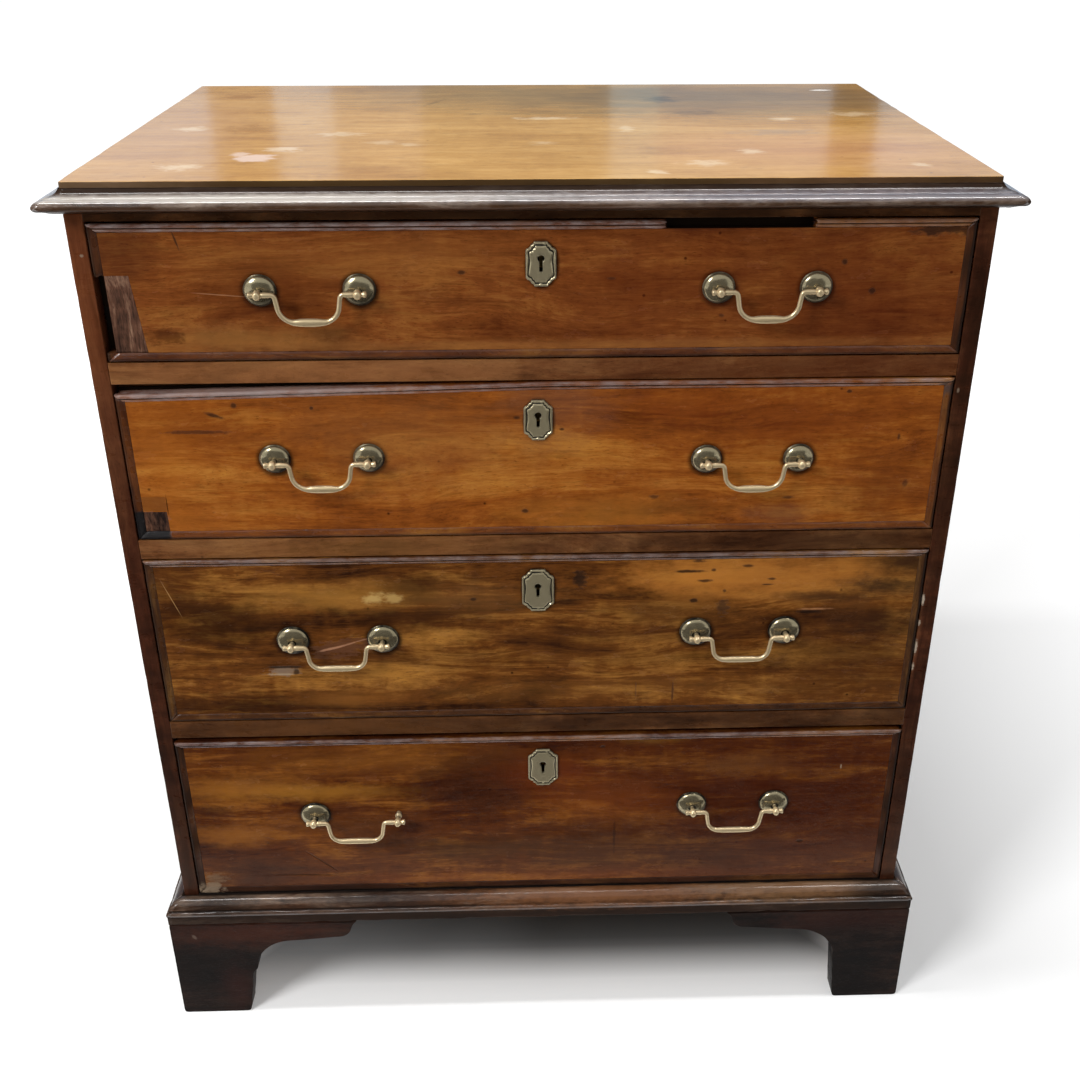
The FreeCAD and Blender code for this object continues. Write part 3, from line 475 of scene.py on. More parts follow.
class Finish:
    """A material laid down in layers, each pattern set on the piece's own coordinates by a Mapping node."""

    def __init__(self, name, follow_grain=False):
        self.material = bpy.data.materials.new(name)
        self.material.use_nodes = True
        self.nodes = self.material.node_tree.nodes
        self.links = self.material.node_tree.links
        self.nodes.clear()
        surface = self.nodes.new("ShaderNodeOutputMaterial")
        self.shader = self.nodes.new("ShaderNodeBsdfPrincipled")
        self.links.new(self.shader.outputs["BSDF"], surface.inputs["Surface"])
        self.where = self.nodes.new("ShaderNodeTexCoord").outputs["Object"]
        self.along = self.layer("grain", "Vector") if follow_grain else self.where
        self.normal = None
        self.rags = {}

    def feed(self, socket, value):
        """Link a socket to another, or set it to a plain value."""
        if isinstance(value, bpy.types.NodeSocket):
            self.links.new(value, socket)
        elif value is not None:
            socket.default_value = value

    def layer(self, name, output="Fac"):
        """What a named layer holds on the mesh's points."""
        reader = self.nodes.new("ShaderNodeAttribute")
        reader.attribute_name = name
        return reader.outputs[output]

    def place(self, centre, turn, size, where=None):
        """Coordinates about a centre, turned by degrees, in units of a size: both are in millimetres."""
        mapping = self.nodes.new("ShaderNodeMapping")
        mapping.vector_type = "TEXTURE"
        self.feed(mapping.inputs["Vector"], where or self.along)
        mapping.inputs["Location"].default_value = [value * MM for value in centre]
        mapping.inputs["Rotation"].default_value = [radians(value) for value in turn]
        mapping.inputs["Scale"].default_value = [value * MM for value in size]
        return mapping.outputs["Vector"]

    def noise(self, size, detail, rough, twist=0.0, centre=(0, 0, 0), where=None):
        """Cloudy unevenness whose patches are about one size."""
        node = self.nodes.new("ShaderNodeTexNoise")
        self.feed(node.inputs["Vector"], self.place(centre, (0, 0, 0), size, where))
        node.inputs["Scale"].default_value = 1
        node.inputs["Detail"].default_value = detail
        node.inputs["Roughness"].default_value = rough
        node.inputs["Distortion"].default_value = twist
        return node.outputs["Fac"]

    def spots(self, size):
        """How far each place is from the nearest of many scattered points, and a colour for each point."""
        node = self.nodes.new("ShaderNodeTexVoronoi")
        self.feed(node.inputs["Vector"], self.place((0, 0, 0), (0, 0, 0), size, self.where))
        node.inputs["Scale"].default_value = 1
        return node.outputs["Distance"], node.outputs["Color"]

    def parts(self, vector):
        """The X, Y and Z of a place, by name."""
        node = self.nodes.new("ShaderNodeSeparateXYZ")
        self.feed(node.inputs[0], vector)
        return node.outputs

    def moved(self, vector, amount, step):
        """A place moved by an amount of steps."""
        node = self.nodes.new("ShaderNodeVectorMath")
        node.operation = "MULTIPLY_ADD"
        for socket, value in zip(node.inputs, (amount, step, vector)):
            self.feed(socket, value)
        return node.outputs[0]

    def sum(self, kind, first, second=None, third=None, clamp=False):
        """One step of arithmetic."""
        node = self.nodes.new("ShaderNodeMath")
        node.operation = kind
        node.use_clamp = clamp
        for socket, value in zip(node.inputs, (first, second, third)):
            self.feed(socket, value)
        return node.outputs[0]

    def level(self, value, low, high, to_low=0.0, to_high=1.0, smooth=False):
        """Stretch a range of values to another, held at its ends."""
        node = self.nodes.new("ShaderNodeMapRange")
        node.interpolation_type = "SMOOTHSTEP" if smooth else "LINEAR"
        for socket, number in zip(node.inputs, (value, low, high, to_low, to_high)):
            self.feed(socket, number)
        return node.outputs["Result"]

    def ramp(self, value, stops):
        """Colours along a value: stops are (place, colour)."""
        node = self.nodes.new("ShaderNodeValToRGB")
        bar = node.color_ramp.elements
        bar[0].position, bar[0].color = stops[0]
        bar[1].position, bar[1].color = stops[-1]
        for position, hue in stops[1:-1]:
            bar.new(position).color = hue
        self.feed(node.inputs["Fac"], value)
        return node.outputs["Color"]

    def figured(self, pattern, colours):
        """A wood's dark, middle and light colours along its pattern."""
        return self.ramp(pattern, list(zip((0.02, 0.5, 0.98), colours)))

    def blend(self, amount, below, above):
        """Lay one colour over another by an amount."""
        node = self.nodes.new("ShaderNodeMix")
        node.data_type = "RGBA"
        node.clamp_factor = True
        self.feed(node.inputs["Factor"], amount)
        self.feed(node.inputs[6], below)
        self.feed(node.inputs[7], above)
        return node.outputs[2]

    def weave(self, parts):
        """A weighted sum of values."""
        total = None
        for value, weight in parts:
            term = self.sum("MULTIPLY", value, weight)
            total = term if total is None else self.sum("ADD", total, term)
        return total

    def mark(self, centre, size, turn, soft, ragged, grit=5.0, square=False, flat=False):
        """A patch, 1 inside and 0 outside, with a ragged edge: across and up, or across and back if flat.

        It reaches through the whole piece in its third direction.
        """
        through = 1e6
        if flat:
            local = self.place((*centre, 0), (0, 0, turn), (*size, through), self.where)
        else:
            local = self.place(
                (centre[0], 0, centre[1]), (0, turn, 0), (size[0], through, size[1]), self.where)
        if square:
            parts = self.parts(local)
            far = self.sum("MAXIMUM", *(self.sum("ABSOLUTE", parts[axis]) for axis in ("X", "Z")))
        else:
            node = self.nodes.new("ShaderNodeVectorMath")
            node.operation = "LENGTH"
            self.feed(node.inputs[0], local)
            far = node.outputs["Value"]
        if grit not in self.rags:
            rag = self.noise((grit * 2, grit, grit), 4, 0.65, where=self.where)
            self.rags[grit] = self.sum("SUBTRACT", rag, 0.5)
        far = self.sum("MULTIPLY_ADD", self.rags[grit], ragged * 4, far)
        return self.level(far, 1 - soft, 1 + soft, 1, 0, smooth=True)

    def relief(self, height, strength, distance):
        """Raise the surface by a height: distance is in millimetres."""
        node = self.nodes.new("ShaderNodeBump")
        node.inputs["Strength"].default_value = strength
        node.inputs["Distance"].default_value = distance * MM
        self.feed(node.inputs["Height"], height)
        if self.normal is not None:
            self.feed(node.inputs["Normal"], self.normal)
        self.normal = node.outputs["Normal"]

    def settle(self, base, rough, metal, specular, coat=0.0, coat_rough=0.1, tint=None):
        """Hand the layers to the shader. Plain numbers stay on its own sockets."""
        self.feed(self.shader.inputs["Base Color"], base)
        self.feed(self.shader.inputs["Roughness"], rough)
        self.shader.inputs["Metallic"].default_value = metal
        self.feed(self.shader.inputs["Specular IOR Level"], specular)
        self.feed(self.shader.inputs["Coat Weight"], coat)
        self.shader.inputs["Coat Roughness"].default_value = coat_rough
        if tint:
            self.shader.inputs["Specular Tint"].default_value = tint
        if self.normal is not None:
            self.feed(self.shader.inputs["Normal"], self.normal)
        return self.material


# The turn, in degrees, that brings a piece's first coordinate onto its grain.
GRAIN_TURNS = {"x": (0, 0, 0), "y": (0, 0, 90), "z": (0, -90, 0)}
# Colours as light with an alpha, the same on every wood or brass.
# Darkens by the dirt_and_shade layer, which holds grime in hollows and, on some pieces, painted shade.
DIRT_AND_SHADE = (0.016, 0.009, 0.006, 1)
# Painted shade for wood seen in the gaps.
GAP_SHADE_BLACK = (0.006, 0.003, 0.002, 1)
DUST = (0.26, 0.22, 0.19, 1)
VERDIGRIS = (0.1, 0.13, 0.1, 1)


def wood(name, finish, grain="x", follow_grain=False, seed=0.0, figure=1.0, shift=0.0, spread=0.14,
         streaks=0.5, pores=0.6, specks=0.3, smoke=0.3, gloss=(0.3, 0.5), specular=0.3, tint=None, coat=0.0,
         worn=0.0, rub=None, deepen=1.0, dusty=0.0, marks=(), boards=None, relief=0.25, uneven=0.25,
         gap_shade_from=None, blackened=None, raw=None):
    """Old polished wood: long figure and fibres along the grain, pores, smoke, specks, wear and dirt.

    Sizes of noise are in millimetres, first along the grain. seed moves the figure, and boards = (axis,
    width, start) gives each board of a row its own. marks are (kind, colour, amount, settings for
    Finish.mark), laid over the wood in turn. Behind the depth gap_shade_from the wood is painted black, a
    painted shade for where it shows in the gaps, and bare beyond that; in front of the depth blackened it
    is painted black too, the same painted shade. Within raw = (half width, depth) it was never finished.
    """
    cloth = Finish(name, follow_grain)
    colours = shades(finish, deepen)
    dark, _, light = colours
    if boards:
        cloth.along = separate_boards(cloth, *boards)
    metre = (1000, 1000, 1000)
    cloth.along = cloth.place((seed * 37.0, seed * 53.0, seed * 71.0), GRAIN_TURNS[grain], metre)
    warp = cloth.noise((260, 60, 60), 2, 0.5, centre=(seed, 0, 0))
    cloth.along = cloth.moved(cloth.along, warp, (0.0, 0.05, 0.05))
    flame = cloth.noise((125, 16, 16), 5, 0.55, 0.9)
    bands = cloth.noise((420, 38, 38), 3, 0.5, 0.3, centre=(seed * 9, 3, 3))
    fibre = cloth.noise((45, 1.5, 1.5), 3, 0.6)
    clouds = cloth.noise((120, 70, 70), 3, 0.55, centre=(5, 5, 5))
    fleck = cloth.noise((12, 3.2, 3.2), 3, 0.6, 0.6, centre=(2, 8, 4))
    wave = cloth.noise((12, 50, 50), 2, 0.5, 0.4, centre=(2, 8, 4))
    parts = [(flame, 0.4 * figure), (bands, 0.3 * figure), (clouds, 0.3), (fibre, 0.13), (fleck, 0.17),
             (wave, 0.08)]
    middle = 0.5 * sum(weight for _, weight in parts)
    pattern = cloth.level(cloth.weave(parts), middle - spread - shift, middle + spread - shift)
    hue = cloth.figured(pattern, colours)
    deep = tuple(value * 0.4 for value in dark[:3]) + (1,)
    haze = cloth.noise((150, 26, 26), 5, 0.6, 0.6, centre=(21, 5, 13))
    hue = cloth.blend(cloth.level(haze, 0.5, 0.72, 0, smoke, smooth=True), hue, deep)
    streak = cloth.noise((110, 4.0, 4.0), 4, 0.6, 0.4, centre=(11, 2, 7))
    hue = cloth.blend(cloth.level(streak, 0.56, 0.72, 0, streaks), hue, deep)
    pore = cloth.level(cloth.noise((6, 0.5, 0.5), 2, 0.5, centre=(1, 9, 2)), 0.6, 0.72)
    hue = cloth.blend(cloth.sum("MULTIPLY", pore, pores), hue, deep)
    grime = cloth.noise((26, 13, 13), 5, 0.7, centre=(4, 4, 9), where=cloth.where)
    hue = cloth.blend(cloth.level(grime, 0.55, 0.8, 0, 0.4), hue, deep)
    near, pick = cloth.spots((19, 19, 19))
    few = cloth.level(cloth.sum("FRACT", cloth.sum("MULTIPLY", pick, 7.3)), 0.7, 0.76)
    dot = cloth.sum("MULTIPLY", cloth.level(near, 0.04, 0.09, 1, 0), few)
    hue = cloth.blend(cloth.sum("MULTIPLY", dot, specks * 1.6, clamp=True), hue, deep)
    sheen = cloth.noise((25, 12, 12), 4, 0.6, centre=(8, 1, 1), where=cloth.where)
    rough = cloth.level(sheen, 0.3, 0.7, *gloss)
    height = cloth.weave([(fibre, 0.25), (pore, -0.6), (cloth.level(grime, 0.5, 0.8), -0.25), (dot, -1.0)])
    if worn:
        edge = cloth.layer("wear")
        patchy = cloth.noise((16, 5, 5), 4, 0.7, centre=(3, 3, 3), where=cloth.where)
        rubbed = cloth.sum("MULTIPLY", edge, cloth.level(patchy, 0.32, 0.6), clamp=True)
        pale = shade(rub) if rub else light
        hue = cloth.blend(cloth.sum("MULTIPLY", rubbed, worn, clamp=True), hue, pale)
        # The dirt_and_shade layer darkens grime in hollows, and painted shade on the strips round the
        # drawers and under the top's moulding.
        dirt_and_shade = cloth.layer("dirt_and_shade")
        hue = cloth.blend(cloth.sum("MULTIPLY", dirt_and_shade, 0.95, clamp=True), hue, DIRT_AND_SHADE)
        rough = cloth.sum("MULTIPLY_ADD", dirt_and_shade, 0.2, rough)
        clean = cloth.level(dirt_and_shade, 0.1, 0.8, 1, 0.1)
        specular = cloth.sum("MULTIPLY", clean, specular)
        coat = cloth.sum("MULTIPLY", clean, coat) if coat else 0.0
    if dusty:
        dust = cloth.noise((22, 9, 9), 5, 0.75, centre=(6, 2, 6), where=cloth.where)
        hue = cloth.blend(cloth.level(dust, 0.42, 0.75, 0, dusty), hue, DUST)
        rough = cloth.sum("MULTIPLY_ADD", cloth.level(dust, 0.42, 0.75), 0.3, rough)
    for kind, hexa, amount, settings in marks:
        patch = cloth.mark(**settings)
        hue = cloth.blend(cloth.sum("MULTIPLY", patch, amount), hue, (*linear(tone(hexa)), 1))
        if kind == "pit":
            height = cloth.sum("MULTIPLY_ADD", patch, -2.5, height)
            rough = cloth.sum("MULTIPLY_ADD", patch, 0.3, rough)
        if kind == "torn":
            fibres = cloth.noise((9, 1.4, 1.4), 4, 0.7, centre=(2, 2, 2), where=cloth.where)
            furrow = cloth.sum("MULTIPLY", patch, cloth.level(fibres, 0.3, 0.7, -4, 0))
            height = cloth.sum("ADD", height, furrow)
            rough = cloth.sum("MULTIPLY_ADD", patch, 0.4, rough)
    place = cloth.parts(cloth.where)
    # Painted shade: black where the front's wood lies in the gaps behind its face, bare further back.
    if gap_shade_from is not None:
        black = cloth.level(place["Y"], (gap_shade_from + 0.3) * MM, (gap_shade_from + 1.0) * MM)
        hue = cloth.blend(black, hue, GAP_SHADE_BLACK)
        bare = cloth.level(place["Y"], (gap_shade_from + 11) * MM, (gap_shade_from + 13) * MM)
        hue = cloth.blend(bare, hue, cloth.figured(pattern, shades("inner")))
        dull = cloth.level(place["Y"], gap_shade_from * MM, (gap_shade_from + 1.0) * MM)
        rough = cloth.sum("MULTIPLY_ADD", dull, 0.4, rough)
    # Painted shade: black near the front of a board that shows through a gap.
    if blackened is not None:
        near = cloth.level(place["Y"], blackened * MM, (blackened + 4) * MM, 1, 0)
        hue = cloth.blend(near, hue, GAP_SHADE_BLACK)
    if raw is not None:
        aside = cloth.sum("ABSOLUTE", place["X"])
        within = cloth.sum("MULTIPLY", cloth.level(aside, (raw[0] - 0.3) * MM, raw[0] * MM, 1, 0),
                           cloth.level(place["Y"], raw[1] * MM, (raw[1] + 0.3) * MM))
        hue = cloth.blend(within, hue, cloth.figured(pattern, shades("inner", 0.8)))
        rough = cloth.sum("MULTIPLY_ADD", within, 0.4, rough)
    swell = cloth.noise((45, 20, 20), 3, 0.5, centre=(7, 7, 7), where=cloth.where)
    cloth.relief(swell, uneven, 0.9)
    cloth.relief(height, relief, 0.5)
    return cloth.settle(hue, cloth.sum("MINIMUM", rough, 0.95), 0.0, specular, coat, 0.12, tint)


def separate_boards(cloth, axis, width, start):
    """Coordinates that jump from board to board, so that each board of a row has its own figure."""
    aside = cloth.parts(cloth.along)[axis]
    count = cloth.sum("FLOOR", cloth.sum("MULTIPLY_ADD", aside, 1 / (width * MM), -start / width))
    return cloth.moved(cloth.along, count, (1.7, 0.83, 1.31))


def brass(name, bright, tarnish, rough=(0.25, 0.45), metal=0.85, pitted=0.5):
    """Old brass: tarnish lies in its hollows and blotches, and its edges and crowns are rubbed bright."""
    cloth = Finish(name)
    blotch = cloth.noise((9, 9, 9), 4, 0.6, 0.3)
    fine = cloth.noise((1.6, 1.6, 1.6), 3, 0.6)
    wear, dirt_and_shade = cloth.layer("wear"), cloth.layer("dirt_and_shade")
    cover = cloth.weave([(blotch, 1.1), (fine, 0.5), (wear, -1.0), (dirt_and_shade, 1.0)])
    cover = cloth.level(cover, 0.55, 1.35, 0, tarnish + 0.3)
    hue = cloth.blend(cover, shade(bright), shade("tarnish"))
    green = cloth.level(cloth.noise((5, 5, 5), 4, 0.7, centre=(9, 9, 9)), 0.62, 0.8, 0, 0.3)
    hue = cloth.blend(green, hue, VERDIGRIS)
    roughness = cloth.level(cover, 0, 1, *rough)
    cloth.relief(fine, 0.12 * pitted, 0.3)
    cloth.relief(blotch, 0.25 * pitted, 0.5)
    return cloth.settle(hue, roughness, metal, 0.5)


# ---------------------------------------------------------------- carcase

# The warm tint of what the polish of the front and sides reflects.
GLOW = (1.0, 0.66, 0.4, 1)


def scuff(x, y, across, back, hexa="#e3cfae", amount=0.26, turn=0.0, soft=0.8, ragged=1.0, grit=6.0):
    """One mark on the polished top, a stain, a scuff or a patch of painted reflection: where it is and how
    far it reaches, in millimetres.
    """
    settings = dict(centre=(x, y), size=(across, back), turn=turn, soft=soft, ragged=ragged, grit=grit)
    return ("stain", hexa, amount, dict(settings, flat=True))


# Marks on the top, from its middle across and back. The first six are broad soft patches of painted
# reflection, darker towards the back and paler at the front left and right; the rest are stains and scuffs.
TOP_MARKS_AND_REFLECTIONS = (
    scuff(-120, 222, 95, 26, "#76644a", 0.4, soft=0.95, ragged=0.4, grit=24),
    scuff(0, 165, 150, 72, "#6b5c42", 0.55, soft=0.95, ragged=0.3, grit=24),
    scuff(205, 150, 150, 88, "#4b4030", 0.68, soft=0.85, ragged=0.3, grit=24),
    scuff(345, 150, 50, 76, "#5d4a33", 0.5, soft=0.9, ragged=0.3, grit=24),
    scuff(-330, -60, 60, 170, "#b7957c", 0.3, soft=0.95, ragged=0.3, grit=24),
    scuff(250, -120, 120, 70, "#c59072", 0.3, soft=0.95, ragged=0.3, grit=24),
    scuff(133, 139, 12, 18, "#2a2824", 0.75, grit=7),
    scuff(157, 60, 22, 9, "#4a3116", 0.6, grit=7),
    scuff(40, 62, 90, 9, "#6d5430", 0.35, soft=0.8, grit=9),
    scuff(262, 62, 60, 10, "#7a6338", 0.45, soft=0.8, grit=9),
    scuff(220, -40, 30, 12, "#8a7a6a", 0.45, soft=0.8, grit=7),
    scuff(-308, 165, 16, 12, "#8a5a24", 0.5, grit=6),
    scuff(-258, -14, 24, 16, "#85561f", 0.5, ragged=0.8, grit=6),
    scuff(-100, 125, 3, 16, "#6b5230", 0.5, turn=-25, grit=4),
    scuff(-230, -140, 15, 14, "#e3cfc6", 0.62, soft=0.3, ragged=0.45, grit=7),
    scuff(-215, -106, 14, 8, "#decaaf", 0.5, soft=0.4, ragged=0.8, grit=6),
    scuff(-246, -124, 7, 6, "#e3cfc6", 0.5, soft=0.4, ragged=0.6),
    scuff(-312, -12, 10, 8, amount=0.5),
    scuff(-284, -172, 12, 9, amount=0.5),
    scuff(-133, -79, 9, 8),
    scuff(-172, -40, 16, 8, amount=0.4),
    scuff(-106, -88, 7, 6),
    scuff(8, -84, 8, 7),
    scuff(12, 34, 22, 6, amount=0.5),
    scuff(96, -200, 6, 6, amount=0.5),
    scuff(182, -124, 8, 7, amount=0.5),
    scuff(139, -168, 13, 9, amount=0.45),
    scuff(238, 25, 8, 8, amount=0.5),
    scuff(311, 49, 16, 9, amount=0.4),
    scuff(312, -178, 6, 6, amount=0.45),
    scuff(85, -20, 5, 12, amount=0.35),
    scuff(312, 194, 11, 4, "#f4ede4", 0.8, soft=0.3, ragged=0.3),
)


class CHEST_OT_top(Operator):
    """The polished top board and the moulding planted on its front and side edges"""

    bl_idname = "chest.top"
    bl_label = "Top and its moulding"

    def execute(self, context):
        size = sizes()
        low, high = corners("top_board")
        board = worn_board(low, high, 2, 0, 0.8, 3, grimy=0.95)
        polish = wood("polished top", "top", seed=1.0, figure=0.9, spread=0.2, streaks=0.15, smoke=0.12,
                      pores=0.2, specks=0.4, gloss=(0.09, 0.17), specular=0.5, relief=0.06, worn=0.2,
                      marks=TOP_MARKS_AND_REFLECTIONS)
        make_piece("top_board_worn", [board], polish, "carcase", ["top_board"])
        low, high = corners("top_edge_moulding")
        reach, front, rear = high[0], low[1], high[1]
        steps = [(-17, TOP - 24), (-12, TOP - 23.6), (-6.5, TOP - 21), (-4.4, TOP - 20.4),
                 (0, TOP - 16, 4.41, 1), (-8, TOP - 11.6, 6.5, 1), (-8.2, TOP - 10.2), (-9.2, TOP - 10),
                 (-17, TOP - 4, 7.5, -1)]
        section = eased(outline(steps), 0.55, 0.4)
        skins = framed_strips(section, reach, front, rear, size["chip_depth"], 0.25, TOP - 18, 11)
        finish = wood("top moulding", "moulding", follow_grain=True, seed=2.0, worn=0.42,
                      gloss=(0.1, 0.22), specular=0.25, coat=1.0, marks=MOULDING_SHINE_AND_MARKS)
        make_piece("top_moulding", skins, finish, "carcase", ["top_edge_moulding"])
        return {"FINISHED"}


def spot(x, z, across, up=None, hexa="#1d0d07", amount=0.75, turn=0.0, soft=0.5, ragged=0.3, kind="pit",
         **more):
    """One small mark seen from the front: where it is and how far it reaches, in millimetres."""
    settings = dict(centre=(x, z), size=(across, up or across), turn=turn, soft=soft, ragged=ragged, **more)
    return (kind, hexa, amount, settings)


def stain(*place, **more):
    """A mark that only colours the surface."""
    return spot(*place, kind="stain", **more)


def torn(*place, **more):
    """A mark where the surface is torn and rough."""
    return spot(*place, kind="torn", **more)


def shadow(x, z, across, up, hexa, amount, grit=14.0, **more):
    """One broad soft area of another colour."""
    return stain(x, z, across, up, hexa, amount, soft=0.9, ragged=0.6, grit=grit, **more)


# The moulding's crown is painted pale, most at the left, a painted highlight, and bluish grey at the right,
# a painted reflection; a brown band runs below them.
MOULDING_SHINE_AND_MARKS = (
    stain(-215, TOP - 11.2, 240, 1.7, "#d6cfc6", 0.55, soft=0.7, ragged=0.25),
    stain(230, TOP - 11.6, 260, 2.4, "#8f8f9a", 0.35, soft=0.8, ragged=0.3),
    stain(-80, TOP - 19, 300, 2.2, "#5a3a26", 0.4, soft=0.8, ragged=0.5),
)


def framed_strips(section, reach, front, rear, chips, rubbed, dark_below, seed):
    """Three strips round the front and sides: x counts outward from the outermost edge, y is the height.

    The side strips begin a hair behind the front one, so that no two faces share a plane.
    """
    gap = 0.06
    common = dict(up=(0, 0, 1), chips=chips, rubbed=rubbed, dark_below=dark_below)
    left, right = (-reach, front + gap, 0), (reach, front + gap, 0)
    return [
        carried(section, (-reach, front, 0), (reach, front, 0), (0, -1, 0), seed=seed, **common),
        carried(section, left, (-reach, rear, 0), (-1, 0, 0), seed=seed + 7, mitres=(1, 0), **common),
        carried(section, right, (reach, rear, 0), (1, 0, 0), seed=seed + 13, mitres=(1, 0), **common),
    ]


# The first six paint the stiles darker at the right and low down, and lighter at the top of the left one:
# painted shade and painted light. The rest are small chips.
SIDE_MARKS = (
    shadow(358, 760, 14, 130, "#1c0e08", 0.65),
    shadow(358, 580, 14, 110, "#1f110a", 0.65),
    shadow(358, 260, 14, 170, "#1a0d09", 0.75),
    shadow(-358, 240, 14, 170, "#1a0f0b", 0.72),
    shadow(-358, 600, 14, 130, "#2a130b", 0.45),
    shadow(-358, 800, 14, 90, "#6e3a1c", 0.4),
    torn(351.2, 492, 1.3, 5.5, "#a89a88", 0.85, soft=0.5, ragged=0.8, grit=2.0),
    torn(351.2, 467, 0.9, 2.4, "#a89a88", 0.7, soft=0.5, ragged=0.8, grit=2.0),
    torn(351.2, 440, 1.2, 6.5, "#a89a88", 0.8, soft=0.5, ragged=0.8, grit=2.0),
    torn(351.2, 418, 0.9, 3.5, "#a89a88", 0.7, soft=0.5, ragged=0.8, grit=2.0),
    torn(-356, 822, 1.4, 1.2, "#8c7f6c", 0.5, grit=2.0),
    torn(354, 700, 1.0, 2.0, "#8c7a68", 0.5, grit=2.0),
)

# The first darkens the rail under the top's moulding: a painted shadow. The others paint the rails darker
# at the right and lighter at the left, painted shade and painted light; the sixth darkens the lowest rail
# all across.
RAIL_MARKS = (
    shadow(0, 853, 500, 7, "#1c0d07", 0.85, square=True),
    shadow(210, 722, 190, 14, "#481d0b", 0.65),
    shadow(-200, 722, 150, 12, "#925f38", 0.45),
    shadow(230, 556, 210, 14, "#2b160b", 0.75),
    shadow(-150, 556, 90, 12, "#80552b", 0.45),
    shadow(0, 359, 500, 14, "#25140a", 0.72, square=True),
    shadow(-190, 360, 90, 10, "#6b4220", 0.45),
)


class CHEST_OT_carcase(Operator):
    """The sides, the rails between the drawers, the bottom, the runners and the back boards"""

    bl_idname = "chest.carcase"
    bl_label = "Carcase"

    def execute(self, context):
        edge = sizes()["edge_wear"]
        sides = wood("carcase sides", "carcase", grain="z", seed=4.0, worn=0.6, specks=0.4,
                     gloss=(0.24, 0.38), specular=0.18, tint=GLOW, relief=0.09, uneven=0.08,
                     marks=SIDE_MARKS)
        for side in SIDES:
            low, high = corners(f"{side}_side")
            board = worn_board(low, high, 0, 2, edge, 21 if side == "left" else 27)
            make_piece(f"{side}_side_worn", [board], sides, "carcase", [f"{side}_side"])
        rails = wood("rails", "rail", seed=5.0, streaks=0.4, gloss=(0.2, 0.4), specular=0.2, tint=GLOW,
                     marks=RAIL_MARKS)
        finish_node("front_rails", rails, 0.7)
        plain = dict(gloss=(0.6, 0.8), specular=0.2, pores=0.5)
        # The bottom board's front is painted black: painted shade in the gap under the lowest drawer.
        depth = corners("bottom_board")[0][1] + 8
        finish_node("bottom_board", wood("bare bottom board", "inner", seed=6.0, blackened=depth, **plain))
        finish_node("drawer_runners", wood("bare runners", "inner", grain="y", seed=7.0, **plain))
        low, high = corners("back_boards")
        back = wood("back boards", "inner", grain="z", seed=8.0, shift=-0.04, gloss=(0.6, 0.85),
                    specular=0.2, dusty=0.3, boards=("X", (high[0] - low[0]) / 4, low[0]))
        finish_node("back_boards", back, 0.8)
        return {"FINISHED"}


class CHEST_OT_base(Operator):
    """The base moulding and the bracket feet"""

    bl_idname = "chest.base"
    bl_label = "Base and feet"

    def execute(self, context):
        size = sizes()
        low, high = corners("base_moulding")
        reach, front, rear, top = high[0], low[1], high[1], high[2]
        steps = [(-0.7, top - 26.5), (-0.7, top - 15), (0, top - 14.4), (0, top - 10.8), (-2.9, top - 10.4),
                 (-2.9, top - 8.6), (-13.9, top - 0.3, 11.01, 1), (-16.3, top), (-16.3, top - 26.5)]
        section = eased(outline(steps), 0.55, 0.45)
        skins = framed_strips(section, reach, front, rear, size["chip_depth"] * 1.2, 0.55, top - 14.8, 31)
        finish = wood("base moulding", "base", follow_grain=True, seed=9.0, streaks=0.6, worn=0.4,
                      gloss=(0.1, 0.25), specular=0.15, coat=0.5, marks=BASE_MARKS)
        make_piece("base_moulding_worn", skins, finish, "carcase", ["base_moulding"])
        corner = corners("front_left_foot")[0]
        inside = FOOT_BOARD - 0.4
        finish = wood("blackened feet", "foot", follow_grain=True, seed=10.0, streaks=0.4, worn=0.4,
                      gloss=(0.3, 0.5), specular=0.05, relief=0.4, marks=FOOT_MARKS,
                      raw=(-corner[0] - inside, corner[1] + inside))
        for side, sign in (("left", 1), ("right", -1)):
            skins = front_foot(sign, 41 if sign > 0 else 47)
            node = f"front_{side}_foot"
            make_piece(f"{side}_bracket_foot", skins, finish, "carcase", [node])
        skins = rear_foot(1, 53) + rear_foot(-1, 59)
        make_piece("rear_bracket_feet", skins, finish, "carcase", ["rear_feet"])
        return {"FINISHED"}


BASE_MARKS = (
    shadow(-330, 146, 40, 12, "#15110f", 0.75, grit=5.0),
    shadow(-170, 149, 60, 9, "#1f1a19", 0.65, grit=5.0),
    shadow(60, 149, 110, 9, "#8a5a38", 0.5, grit=5.0),
    shadow(250, 149, 70, 9, "#85603e", 0.5, grit=5.0),
    shadow(350, 146, 26, 12, "#12100f", 0.75, grit=5.0),
)

FOOT_MARKS = (
    torn(-357, 108, 1.6, 3.0, "#8a7d70", 0.7, turn=-30),
    shadow(-322, 38, 14, 26, "#4a2118", 0.3, grit=5.0),
    torn(-293, 20, 1.0, 17, "#b9ada2", 0.55, soft=0.5, ragged=0.7),
    torn(188, 99, 4.0, 2.0, "#8a6a4c", 0.75, ragged=0.8),
    shadow(320, 112, 60, 14, "#3c1c12", 0.5, grit=5.0),
    stain(325, 45, 50, 55, "#060404", 0.85, soft=0.9, ragged=0.5),
    stain(-345, 60, 40, 50, "#0a0706", 0.5, soft=0.9, ragged=0.5),
    shadow(-300, 112, 80, 14, "#452215", 0.55, grit=5.0),
)

# The outlines of the feet's boards, along the floor from the chest's corner and up, as steps for outline().
# The plain one has no step in its curve.
BRACKET = [(0, 0), (70.5, 0), (78, 53), (84, 60, 7, -1), (84, 66), (124, 99.5, 38, -1), (172, 103.5),
           (184, 112, 13, 1), (192, 125, 14, -1), (0, 125)]
PLAIN_BRACKET = [(0, 0), (70, 0), (74.5, 58), (113, 98.5, 40, -1)] + BRACKET[6:]
# The thickness of a foot's boards and of its back stay, and how wide its glued block is.
FOOT_BOARD = 20
FOOT_STAY = 18
FOOT_BLOCK = 38


